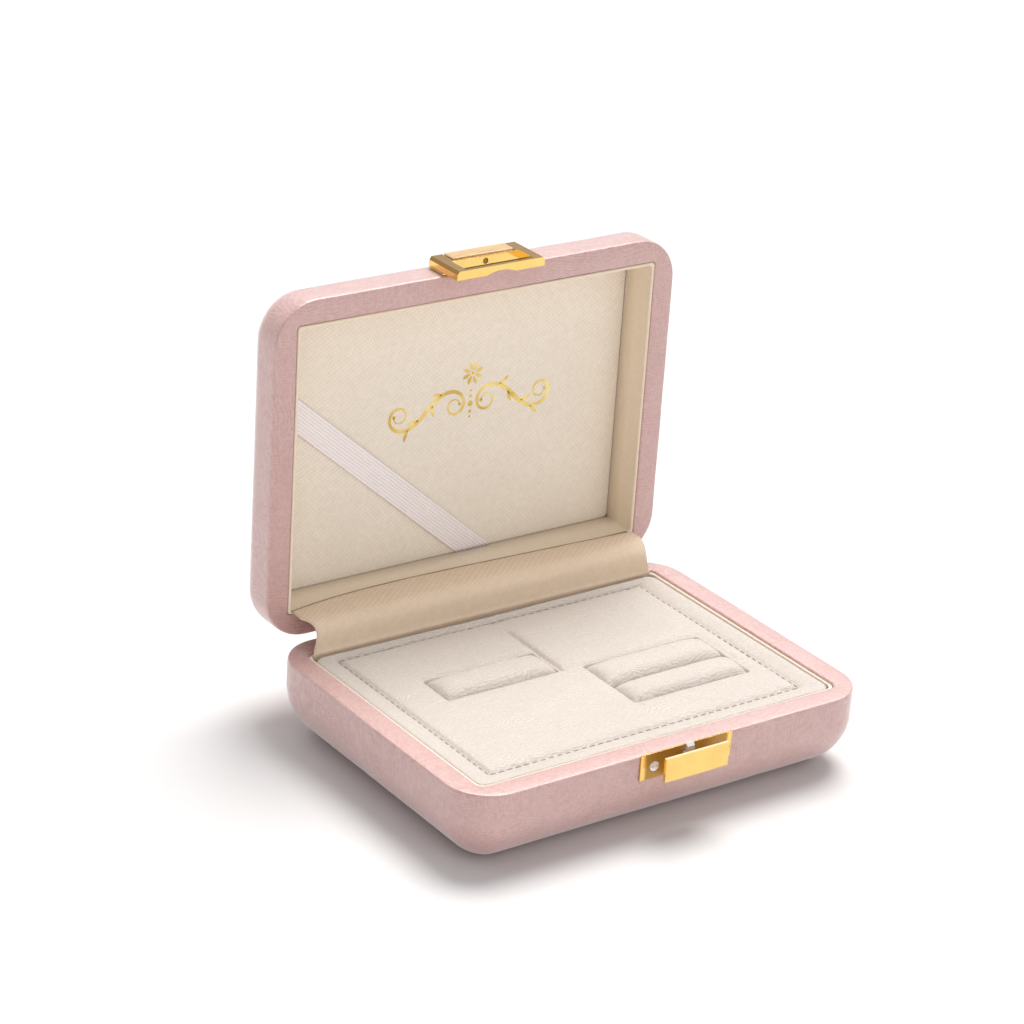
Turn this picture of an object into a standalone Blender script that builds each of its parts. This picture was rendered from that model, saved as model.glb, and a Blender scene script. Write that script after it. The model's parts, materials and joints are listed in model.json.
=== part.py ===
"""Leather jewellery case: a padded ring tray with a hinged lid and a push-button clasp.

Metres, +Z up, +X to the case's right, +Y to its back. The origin is the centre of the flat
underside. The lid stands open at 90 degrees, which is the rest pose.

Heights inside the two halves are depths, measured from the plane where the rims meet, so the
base and the lid share the same functions. Offsets are measured outward from the edge of the
rectangular opening.
"""

import math

import bmesh
import bpy
from mathutils import Matrix, Vector

MM = 0.001

# ---------------------------------------------------------------- driving dimensions
OPENING_X = 96.0 * MM
OPENING_Y = 68.6 * MM
RIM_WIDTH = 5.28 * MM
RIM_CORNER = 10.0 * MM         # plan radius at the rim's outer edge
OPENING_CORNER = 2.0 * MM
BULGE = 0.35 * MM              # the walls stand this far outside the rim's edge
EDGE_DROP = 0.9 * MM           # height of that rounded edge

BASE_HEIGHT = 19.0 * MM
BASE_CURVE_IN = 12.0 * MM      # the wall curves under over this width
BASE_CURVE_UP = 13.0 * MM      # and this height
LID_HEIGHT = 13.5 * MM
LID_CURVE_IN = 11.0 * MM
LID_CURVE_UP = 7.5 * MM

RIM_GAP = 0.15 * MM            # each rim stops this far from the meeting plane
SKIN = 0.7 * MM                # leather
FIT = 0.2 * MM                 # clearance between glued layers
GAP = 0.3 * MM                 # clearance between pieces that touch
SNUG = 0.1 * MM                # clearance under small metal pieces
TURN_DOWN = 3.0 * MM           # leather turned down inside the opening
EASE = 0.4 * MM                # its rounding over the opening's edge

LINING = 0.45 * MM
LINING_DEPTH = 0.6 * MM        # top of the lining's lip
BASE_FLOOR = 12.3 * MM         # depth of the base core's floor
LID_FLOOR = 10.8 * MM
PANEL_TOP = 10.0 * MM
PANEL_THICKNESS = 0.6 * MM
WELL_CORNER = 2.5 * MM         # plan radius of the wells in the cores

PAD_TOP = 1.5 * MM
PAD_THICKNESS = 9.0 * MM
PAD_BACK_ROOM = 1.0 * MM       # the gusset tucks in behind the pad
BOARD_THICKNESS = 1.2 * MM
BOARD_INSET = 0.5 * MM
PAD_ROUND = 1.0 * MM
ROLL_DEPTH = 7.0 * MM
ROLL_PROUD = 1.6 * MM          # rolls stand this far above the pad
ROLL_ROUND = 2.2 * MM

HINGE_BEHIND = 1.05 * MM       # axis behind the back wall
HINGE_BELOW = 0.8 * MM         # axis below the meeting plane
HINGE_X = 28.0 * MM
HINGE_WIDTH = 16.0 * MM
KNUCKLE_RADIUS = 1.1 * MM
PIN_RADIUS = 0.45 * MM
PIN_BORE = 0.52 * MM
LEAF_THICKNESS = 0.5 * MM
LEAF_HEIGHT = 5.8 * MM
HINGE_SCREW_X = 5.0 * MM       # from the middle of a hinge
HINGE_SCREW_DROP = 4.2 * MM    # from the axis
HINGE_SCREW = (0.9 * MM, 0.4 * MM, 0.4 * MM, 3.2 * MM)     # head radius and height, shank radius and length

# clasp: "out" sizes run outward from the front walls, heights from the meeting plane
LOCK_X = 1.2 * MM
HASP_X = 0.75 * MM
PLATE_WIDTH = 24.4 * MM
PLATE_HEIGHT = 6.1 * MM
PLATE_TOP = 0.3 * MM
PLATE_THICKNESS = 0.4 * MM
LOCK_SCREW = (1.2 * MM, 0.4 * MM, 0.6 * MM, 3.6 * MM)
LOCK_SCREW_X = 8.5 * MM        # from the clasp's middle
LOCK_SCREW_DROP = 3.0 * MM
LOCATING_HOLE = (0.5 * MM, 3.5 * MM, 0.22 * MM)            # from the plate's end, depth, radius
BUTTON_WIDTH = 16.9 * MM
BUTTON_HEIGHT = 5.55 * MM
BUTTON_TOP = 0.35 * MM
BUTTON_IN = 3.6 * MM           # inner face of the button's front plate
BUTTON_THICKNESS = 0.7 * MM
BUTTON_TRAVEL = 0.5 * MM
FLOOR_HALF = 6.0 * MM
FLOOR_THICKNESS = 0.45 * MM
STEM_RADIUS = 0.35 * MM
STEM_LENGTH = 4.4 * MM
STEM_DROP = 5.45 * MM
CATCH_OUT = 1.9 * MM           # the catch's nose
CATCH_HALF = 1.0 * MM
CATCH_RAMP = 0.6 * MM          # the slope that the hasp's lower bar runs down
TONGUE_TOP = 1.25 * MM         # below the meeting plane and the leather's top
TONGUE_LOW = 3.4 * MM
TONGUE_END = 3.1 * MM          # inside the wall
HEAD_TOP = 0.9 * MM            # above the meeting plane
LEG_START = 1.9 * MM           # inside the wall
POCKET_DEPTH = 4.0 * MM
SPRING_TURNS = 3
SPRING_RADIUS = 0.55 * MM
SPRING_WIRE = 0.09 * MM
SPRING_START = 3.25 * MM
SPRING_LENGTH = 0.55 * MM
SPRING_RISE = 2.2 * MM         # above the stem's axis
HASP_WIDTH = 23.4 * MM
HASP_DROP = 5.0 * MM           # hasp below the meeting plane when shut
HASP_RISE = 6.2 * MM
HASP_IN = 0.65 * MM            # inner face of the hasp frame
HASP_OUT = 2.75 * MM
HASP_PLATE_SCREW = (1.3 * MM, 0.4 * MM, 0.55 * MM, 3.4 * MM)
HASP_SCREW_X = 6.0 * MM
HASP_SCREW_RISE = 3.8 * MM
WINDOW_WIDTH = 18.1 * MM
WINDOW_LOW = 4.2 * MM
WINDOW_TOP = 1.2 * MM
SCALLOP_RADIUS = 9.0 * MM      # the lower bar's inner edge is cut back where the catch comes over it
SCALLOP_DEPTH = 0.8 * MM
SLOPE_TURN = 35                # degrees, the frame's sloped sides
SLOPE_WIDTH = 1.1 * MM
BAR_WIDTH = 16.3 * MM
BAR_GAP = 0.7 * MM             # between the window and the bar's seat
BAR_PROUD = 0.3 * MM
SEAT_DEPTH = 0.8 * MM
EDGE_SCREW_OUT = 1.55 * MM     # the small screw in the window's upper wall
EDGE_SCREW_RADIUS = 0.6 * MM
EDGE_SHANK_RADIUS = 0.22 * MM
EDGE_RECESS = 0.4 * MM

RIBBON_WIDTH = 6.3 * MM
RIBBON_THICKNESS = 0.4 * MM
RIBBON_SIDE_Y = -13.9 * MM     # where its middle meets the lid's left side, in the shut lid's frame
RIBBON_LOW_X = 8.2 * MM        # and its lower side
GUSSET_THICKNESS = 0.5 * MM
GUSSET_BEND = 3.4 * MM
GUSSET_DROP = 3.5 * MM         # its lower edge, tucked behind the pad
GUSSET_REACH = 3.6 * MM        # its upper edge, behind the axis
GUSSET_END = 1.2 * MM

SCREW_SLOT = 0.22 * MM          # half of a screw slot's depth above and below the head's face
SLOT_HALF = 0.13 * MM
CLEAR = 3.0 * MM               # cutters run this far past what they cut
CORNER_STEPS = 6
CURVE_STEPS = 5

# ---------------------------------------------------------------- derived places
HALF_X = OPENING_X / 2
HALF_Y = OPENING_Y / 2
WALL = RIM_WIDTH + BULGE                    # offset of the wall's outer face
BACK_Y = HALF_Y + WALL
FRONT_Y = -BACK_Y
RIM_Z = BASE_HEIGHT
HINGE_Y = BACK_Y + HINGE_BEHIND
HINGE_Z = RIM_Z - HINGE_BELOW
LINING_OUT = -FIT                           # lining's outer face
LINING_IN = LINING_OUT - LINING
PLATE_OUT = SNUG + PLATE_THICKNESS          # outer face of the lock plate

COLORS = {                                  # colour, roughness, metallic
    "pink_leather": ((0.78, 0.52, 0.50), 0.55, 0.0),
    "core_board": ((0.35, 0.30, 0.26), 0.8, 0.0),
    "cream_lining": ((0.83, 0.75, 0.62), 0.7, 0.0),
    "pad_leather": ((0.88, 0.82, 0.72), 0.6, 0.0),
    "panel_cloth": ((0.76, 0.66, 0.52), 0.85, 0.0),
    "gusset_cloth": ((0.66, 0.53, 0.38), 0.8, 0.0),
    "ribbon": ((0.90, 0.80, 0.80), 0.5, 0.0),
    "gold": ((0.90, 0.65, 0.25), 0.2, 1.0),
    "steel": ((0.75, 0.75, 0.76), 0.25, 1.0),
}


# ---------------------------------------------------------------- helpers
def clear_scene():
    for obj in list(bpy.data.objects):
        bpy.data.objects.remove(obj, do_unlink=True)


def collection(name):
    group = bpy.data.collections.new(name)
    bpy.context.scene.collection.children.link(group)
    return group


def material(piece, kind):
    color, roughness, metallic = COLORS[kind]
    mat = bpy.data.materials.new(piece + "_" + kind)
    mat.use_nodes = True
    shader = mat.node_tree.nodes["Principled BSDF"]
    shader.inputs["Base Color"].default_value = (*color, 1.0)
    shader.inputs["Roughness"].default_value = roughness
    shader.inputs["Metallic"].default_value = metallic
    return mat


def add_mesh(name, bm, kind=None, place=(0, 0, 0), parent=None):
    """Turn a bmesh into an object. With no kind it is a cutter."""
    bmesh.ops.recalc_face_normals(bm, faces=bm.faces)
    mesh = bpy.data.meshes.new(name)
    bm.to_mesh(mesh)
    bm.free()
    obj = bpy.data.objects.new(name, mesh)
    obj.location = place
    obj.parent = parent
    if kind is None:
        obj.hide_render = True
        obj.display_type = "WIRE"
        cutters.objects.link(obj)
    else:
        mesh.materials.append(material(name, kind))
        parts.objects.link(obj)
    return obj


def add_box(name, low, high, kind=None, parent=None, bevel=0.0, segments=1):
    """A box between two corners, with its origin at its centre."""
    low = Vector(low)
    high = Vector(high)
    bm = bmesh.new()
    bmesh.ops.create_cube(bm, size=1.0)
    bmesh.ops.transform(bm, matrix=Matrix.Diagonal((*(high - low), 1.0)), verts=bm.verts)
    obj = add_mesh(name, bm, kind, (low + high) / 2, parent)
    if bevel > 0:
        mod = obj.modifiers.new("edges", "BEVEL")
        mod.width = bevel
        mod.segments = segments
    return obj


def add_cylinder(name, center, radius, length, axis, kind=None, parent=None, sides=16):
    """A cylinder along X, Y or Z."""
    bm = bmesh.new()
    bmesh.ops.create_cone(bm, cap_ends=True, segments=sides, radius1=radius, radius2=radius, depth=length)
    turn = {"X": Matrix.Rotation(math.pi / 2, 4, "Y"), "Y": Matrix.Rotation(-math.pi / 2, 4, "X"),
            "Z": Matrix.Identity(4)}[axis]
    bmesh.ops.transform(bm, matrix=turn, verts=bm.verts)
    return add_mesh(name, bm, kind, center, parent)


def boolean(obj, other, operation):
    mod = obj.modifiers.new(other.name, "BOOLEAN")
    mod.operation = operation
    mod.object = other
    mod.solver = "EXACT"


def cut(obj, *others):
    for other in others:
        boolean(obj, other, "DIFFERENCE")


def join(obj, *others):
    for other in others:
        boolean(obj, other, "UNION")


def rounded_rectangle(half_x, half_y, radius, z):
    """Four corner arcs, counter-clockwise seen from +Z."""
    points = []
    for corner, (sx, sy) in enumerate(((1, 1), (-1, 1), (-1, -1), (1, -1))):
        for step in range(CORNER_STEPS + 1):
            angle = (corner + step / CORNER_STEPS) * math.pi / 2
            points.append((sx * (half_x - radius) + radius * math.cos(angle),
                           sy * (half_y - radius) + radius * math.sin(angle), z))
    return points


def loft(name, rings, kind, place, parent=None):
    """A closed solid through rings of equal length, capped at the first and the last."""
    bm = bmesh.new()
    rows = [[bm.verts.new(point) for point in ring] for ring in rings]
    count = len(rows[0])
    for lower, upper in zip(rows, rows[1:]):
        for i in range(count):
            j = (i + 1) % count
            bm.faces.new((lower[i], lower[j], upper[j], upper[i]))
    bm.faces.new(rows[0])
    bm.faces.new(rows[-1])
    return add_mesh(name, bm, kind, place, parent)


# ---------------------------------------------------------------- the two halves
def corner_radius(offset):
    """Plan radius of the walls, concentric with the rim's outer edge."""
    return max(RIM_CORNER + offset - RIM_WIDTH, 3.0 * MM)


def wall_profile(height, curve_in, curve_up, inset):
    """(offset, depth, corner radius) from the middle of the bottom up and over the rim."""
    wall = WALL - inset
    top = RIM_GAP + inset
    profile = []
    for step in range(CURVE_STEPS + 1):
        angle = math.pi / 2 * (1 - step / CURVE_STEPS)
        offset = WALL - curve_in + (curve_in - inset) * math.cos(angle)
        depth = height - curve_up + (curve_up - inset) * math.sin(angle)
        profile.append((offset, depth, corner_radius(offset)))
    edge = max(BULGE - inset, 0)
    if edge > 0:
        for step in range(4):
            angle = math.pi / 2 * step / 3
            offset = wall - edge * (1 - math.cos(angle))
            depth = top + EDGE_DROP * (1 - math.sin(angle))
            profile.append((offset, depth, corner_radius(offset)))
    else:
        profile.append((wall, top, corner_radius(wall)))
    profile.append((inset + EASE, top, OPENING_CORNER + inset))
    return profile


def rings_of(profile, side):
    """Rounded rectangles for a profile; side is -1 for the base and +1 for the shut lid."""
    return [rounded_rectangle(HALF_X + offset, HALF_Y + offset, radius, side * depth)
            for offset, depth, radius in profile]


def add_leather(name, height, curve_in, curve_up, side, place, parent=None):
    outer = wall_profile(height, curve_in, curve_up, 0)
    inner = wall_profile(height, curve_in, curve_up, SKIN)
    turned = [(0, RIM_GAP + EASE, OPENING_CORNER), (0, TURN_DOWN, OPENING_CORNER),
              (SKIN, TURN_DOWN, OPENING_CORNER + SKIN),
              (SKIN, RIM_GAP + SKIN + EASE, OPENING_CORNER + SKIN)]
    profile = outer + turned + inner[::-1]
    return loft(name, rings_of(profile, side), "pink_leather", place, parent)


def add_core(name, height, curve_in, curve_up, floor, side, place, parent=None):
    """The board under the leather. Its well steps in below the leather's turned-down edge."""
    inset = SKIN + FIT
    outer = wall_profile(height, curve_in, curve_up, inset)
    step = TURN_DOWN + FIT
    narrow = FIT / 2
    well = [(inset, RIM_GAP + inset + EASE, OPENING_CORNER + inset),
            (inset, step, OPENING_CORNER + inset),
            (narrow, step, WELL_CORNER),
            (narrow, floor, WELL_CORNER)]
    return loft(name, rings_of(outer + well, side), "core_board", place, parent)


def add_lining(name, bottom, side, place, parent=None):
    """The wall lining, a thin four-sided band."""
    corners = (OPENING_CORNER + LINING_OUT, OPENING_CORNER + LINING_IN)
    outer = rings_of([(LINING_OUT, LINING_DEPTH, corners[0]), (LINING_OUT, bottom, corners[0])], side)
    inner = rings_of([(LINING_IN, bottom, corners[1]), (LINING_IN, LINING_DEPTH, corners[1])], side)
    rings = outer + inner
    bm = bmesh.new()
    rows = [[bm.verts.new(point) for point in ring] for ring in rings]
    count = len(rows[0])
    for lower, upper in zip(rows, rows[1:] + rows[:1]):
        for i in range(count):
            j = (i + 1) % count
            bm.faces.new((lower[i], lower[j], upper[j], upper[i]))
    return add_mesh(name, bm, "cream_lining", place, parent)


# ---------------------------------------------------------------- the pad and its rolls
ROLLS = {                                   # low x, low y, high x, high y, in the case's frame
    "ring_roll_left": (-31.0 * MM, 2.6 * MM, -1.2 * MM, 12.8 * MM),
    "ring_roll_right_back": (4.6 * MM, -8.1 * MM, 37.0 * MM, 2.2 * MM),
    "ring_roll_right_front": (4.6 * MM, -17.6 * MM, 37.0 * MM, -8.5 * MM),
}


def add_pad():
    edge = LINING_IN - GAP
    top = RIM_Z - PAD_TOP
    bottom = top - PAD_THICKNESS
    low = (-HALF_X - edge, -HALF_Y - edge)
    high = (HALF_X + edge, HALF_Y + edge - PAD_BACK_ROOM)
    pad = add_box("ring_pad", (*low, bottom), (*high, top), "pad_leather", bevel=PAD_ROUND, segments=2)
    board_high = bottom - GAP
    add_box("pad_board", (low[0] + BOARD_INSET, low[1] + BOARD_INSET, board_high - BOARD_THICKNESS),
            (high[0] - BOARD_INSET, high[1] - BOARD_INSET, board_high), "core_board")
    for name, (x0, y0, x1, y1) in ROLLS.items():
        add_box(name, (x0, y0, top - ROLL_DEPTH), (x1, y1, top + ROLL_PROUD), "pad_leather",
                bevel=ROLL_ROUND, segments=3)
    pockets = (ROLLS["ring_roll_left"],
               (ROLLS["ring_roll_right_front"][0], ROLLS["ring_roll_right_front"][1],
                ROLLS["ring_roll_right_back"][2], ROLLS["ring_roll_right_back"][3]))
    for number, (x0, y0, x1, y1) in enumerate(pockets):
        pocket = add_box("roll_pocket_%d" % number, (x0 - GAP, y0 - GAP, top - ROLL_DEPTH - GAP),
                         (x1 + GAP, y1 + GAP, top + CLEAR))
        cut(pad, pocket)


# ---------------------------------------------------------------- screws
def add_screw(name, place, direction, sizes, kind, parent=None):
    """A slotted screw whose shank runs along +Y or -Y; place is the middle of its head."""
    x, y, z = place
    head_radius, head_height, shank_radius, length = sizes
    head = add_cylinder(name, place, head_radius, head_height, "Y", kind, parent)
    overlap = 0.05 * MM
    shank_y = y + direction * (head_height / 2 + length / 2 - overlap)
    shank = add_cylinder(name + "_shank", (x, shank_y, z), shank_radius, length, "Y", None, parent, sides=10)
    join(head, shank)
    face = y - direction * head_height / 2
    slot = add_box(name + "_slot", (x - head_radius - GAP, face - SCREW_SLOT, z - SLOT_HALF),
                   (x + head_radius + GAP, face + SCREW_SLOT, z + SLOT_HALF), None, parent)
    cut(head, slot)


def drill(name, place, radius, length, pieces, parent=None):
    """Cut a hole along Y through the pieces."""
    hole = add_cylinder(name, place, radius, length, "Y", None, parent, sides=12)
    for piece in pieces:
        cut(piece, hole)


# ---------------------------------------------------------------- hinges
def add_leaf(name, x, side, parent=None, origin=(0, 0)):
    """A leaf with its knuckles; side is -1 for the base leaf below the axis, +1 for the lid leaf above it."""
    y, z = origin
    half = HINGE_WIDTH / 2
    sixth = HINGE_WIDTH / 6
    play = 0.1 * MM
    low_y = y - HINGE_BEHIND + SNUG
    ends = sorted((z + side * GAP / 2, z + side * LEAF_HEIGHT))
    leaf = add_box(name, (x - half, low_y, ends[0]), (x + half, low_y + LEAF_THICKNESS, ends[1]),
                   "gold", parent)
    outer_spans = ((-half + play / 2, -sixth - play), (sixth + play, half - play / 2))
    middle_span = ((-sixth + play, sixth - play),)
    knuckles, notches = (outer_spans, middle_span) if side < 0 else (middle_span, outer_spans)
    for number, (x0, x1) in enumerate(knuckles):
        join(leaf, add_cylinder("%s_knuckle_%d" % (name, number), (x + (x0 + x1) / 2, y, z),
                                KNUCKLE_RADIUS, x1 - x0, "X", None, parent))
    reach = KNUCKLE_RADIUS + GAP
    widen = 2.5 * play
    for number, (x0, x1) in enumerate(notches):
        cut(leaf, add_box("%s_notch_%d" % (name, number), (x + x0 - widen, y - reach, z - reach),
                          (x + x1 + widen, y + reach, z + reach), None, parent))
    cut(leaf, add_cylinder(name + "_bore", (x, y, z), PIN_BORE, HINGE_WIDTH + CLEAR, "X", None, parent))
    return leaf


def add_hinges(pivot, base_cut, lid_cut):
    """Two butt hinges. The leathers are relieved round the knuckles and drilled for the screws."""
    count = 0
    for word, x in (("left", -HINGE_X), ("right", HINGE_X)):
        base_leaf = add_leaf("hinge_base_leaf_" + word, x, -1, None, (HINGE_Y, HINGE_Z))
        lid_leaf = add_leaf("hinge_lid_leaf_" + word, x, 1, pivot)
        add_cylinder("hinge_pin_" + word, (x, HINGE_Y, HINGE_Z), PIN_RADIUS, HINGE_WIDTH, "X", "steel")
        groove = HINGE_WIDTH + 2 * GAP
        for label, leather, place, parent in (("base", base_cut[0], (x, HINGE_Y, HINGE_Z), None),
                                              ("lid", lid_cut[0], (x, 0, 0), pivot)):
            cut(leather, add_cylinder("knuckle_groove_%s_%s" % (word, label), place, KNUCKLE_RADIUS + GAP,
                                      groove, "X", None, parent))
        for dx in (-HINGE_SCREW_X, HINGE_SCREW_X):
            count += 1
            for leaf, halves, label, parent, cy, cz in (
                    (base_leaf, base_cut, "base", None, HINGE_Y, HINGE_Z - HINGE_SCREW_DROP),
                    (lid_leaf, lid_cut, "lid", pivot, 0.0, HINGE_SCREW_DROP)):
                head_y = cy - HINGE_BEHIND + SNUG + LEAF_THICKNESS / 2
                tag = "%s_%d" % (label, count)
                head_radius, head_height, shank_radius, length = HINGE_SCREW
                add_screw("hinge_%s_screw_%d" % (label, count), (x + dx, head_y, cz), -1, HINGE_SCREW,
                          "gold", parent)
                drill("leaf_hole_" + tag, (x + dx, head_y, cz), head_radius + SNUG, 3 * head_height,
                      [leaf], parent)
                drill("wall_hole_" + tag, (x + dx, head_y - length / 2, cz), shank_radius + FIT,
                      length + 4 * GAP, halves, parent)


# ---------------------------------------------------------------- clasp
def add_lock(leather, core):
    """The lock plate, its screws, and the sprung push button with its steel catch."""
    low_x = LOCK_X - PLATE_WIDTH / 2
    high_x = LOCK_X + PLATE_WIDTH / 2
    plate_top = RIM_Z + PLATE_TOP
    plate = add_box("lock_plate", (low_x, FRONT_Y - PLATE_OUT, plate_top - PLATE_HEIGHT),
                    (high_x, FRONT_Y - SNUG, plate_top), "gold")
    head_radius, head_height, shank_radius, length = LOCK_SCREW
    for word, x in (("left", LOCK_X - LOCK_SCREW_X), ("right", LOCK_X + LOCK_SCREW_X)):
        place = (x, FRONT_Y - SNUG - PLATE_THICKNESS / 2, RIM_Z - LOCK_SCREW_DROP)
        add_screw("lock_screw_" + word, place, 1, LOCK_SCREW, "gold")
        drill("plate_hole_" + word, place, head_radius + SNUG, 3 * head_height, [plate])
        drill("front_hole_" + word, (x, FRONT_Y + length / 2, place[2]), shank_radius + GAP,
              length + 4 * GAP, [leather, core])
    hole_in, hole_drop, hole_radius = LOCATING_HOLE
    drill("locating_hole", (high_x - hole_in, FRONT_Y, RIM_Z - hole_drop), hole_radius, 4 * PLATE_OUT,
          [plate])

    # the button's empty is on its sliding axis, at the wall's face
    slide = bpy.data.objects.new("button_slide", None)
    slide.location = (LOCK_X, FRONT_Y, RIM_Z - STEM_DROP)
    parts.objects.link(slide)
    rim = STEM_DROP                              # the meeting plane's height in the empty's frame
    button_top = rim + BUTTON_TOP
    button_low = button_top - BUTTON_HEIGHT
    button = add_box("push_button", (-BUTTON_WIDTH / 2, -BUTTON_IN - BUTTON_THICKNESS, button_low),
                     (BUTTON_WIDTH / 2, -BUTTON_IN, button_top), "gold", slide)
    floor_back = -PLATE_OUT - GAP - BUTTON_TRAVEL
    overlap = 0.03 * MM
    floor = add_box("button_floor", (-FLOOR_HALF, -BUTTON_IN - FIT, button_low + overlap - FLOOR_THICKNESS),
                    (FLOOR_HALF, floor_back, button_low + overlap), None, slide)
    stem = add_cylinder("button_stem", (0, floor_back + STEM_LENGTH / 2 - 2 * FIT, 0), STEM_RADIUS,
                        STEM_LENGTH, "Y", None, slide, sides=12)
    join(button, floor, stem)

    # the steel catch: a tongue through the plate, a head outside it, and a leg down to the stem inside
    tongue_low = rim - TONGUE_LOW
    tongue_high = rim - TONGUE_TOP
    head_top = rim + HEAD_TOP
    head_half = CATCH_HALF - 0.05 * MM
    catch = add_box("lock_catch", (-CATCH_HALF, -CATCH_OUT, tongue_low),
                    (CATCH_HALF, TONGUE_END, tongue_high), "steel", slide)
    head = add_box("catch_head", (-head_half, -CATCH_OUT + overlap, tongue_high - CATCH_HALF),
                   (head_half, -PLATE_OUT - BUTTON_TRAVEL - SNUG, head_top), None, slide)
    leg = add_box("catch_leg", (-head_half, LEG_START, STEM_RADIUS + SNUG),
                  (head_half, TONGUE_END - overlap, tongue_low + FIT), None, slide)
    join(catch, head, leg)
    half = CLEAR / 2
    away = half / math.sqrt(2) - CATCH_RAMP / 2
    ramp = add_box("catch_ramp", (-half, -half, -half), (half, half, half), None, slide)
    ramp.location = (0, -CATCH_OUT - away, head_top + away)
    ramp.rotation_euler = (math.pi / 4, 0, 0)
    cut(catch, ramp)

    # openings in the plate, leather and core for the tongue, leg and stem
    left = LOCK_X - CATCH_HALF - GAP
    right = LOCK_X + CATCH_HALF + GAP
    deep = FRONT_Y + POCKET_DEPTH
    outside = FRONT_Y - CLEAR
    tongue_slot = add_box("tongue_slot", (left, outside, RIM_Z - TONGUE_LOW - GAP),
                          (right, deep, RIM_Z - TONGUE_TOP + FIT))
    stem_slot = add_box("stem_slot", (left, outside, RIM_Z - STEM_DROP - STEM_RADIUS - 2 * GAP),
                        (right, deep, RIM_Z - STEM_DROP + STEM_RADIUS + GAP))
    leg_slot = add_box("leg_slot", (left, FRONT_Y + SKIN - FIT, RIM_Z - STEM_DROP - STEM_RADIUS - GAP),
                       (right, deep + SNUG, RIM_Z - RIM_GAP - SKIN - FIT / 2))
    cut(plate, tongue_slot, stem_slot)
    cut(leather, tongue_slot, stem_slot)
    cut(core, leg_slot)
    add_spring(slide)


def add_spring(slide):
    """A small coil between the catch's leg and the end of its pocket."""
    steps = 10
    curve = bpy.data.curves.new("button_spring", "CURVE")
    curve.dimensions = "3D"
    curve.bevel_depth = SPRING_WIRE
    curve.bevel_resolution = 1
    curve.use_fill_caps = True
    spline = curve.splines.new("POLY")
    last = SPRING_TURNS * steps
    spline.points.add(last)
    for i, point in enumerate(spline.points):
        angle = 2 * math.pi * i / steps
        point.co = (SPRING_RADIUS * math.cos(angle), SPRING_START + SPRING_LENGTH * i / last,
                    SPRING_RISE + SPRING_RADIUS * math.sin(angle), 1)
    curve.materials.append(material("button_spring", "steel"))
    spring = bpy.data.objects.new("button_spring", curve)
    spring.parent = slide
    parts.objects.link(spring)


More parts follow.
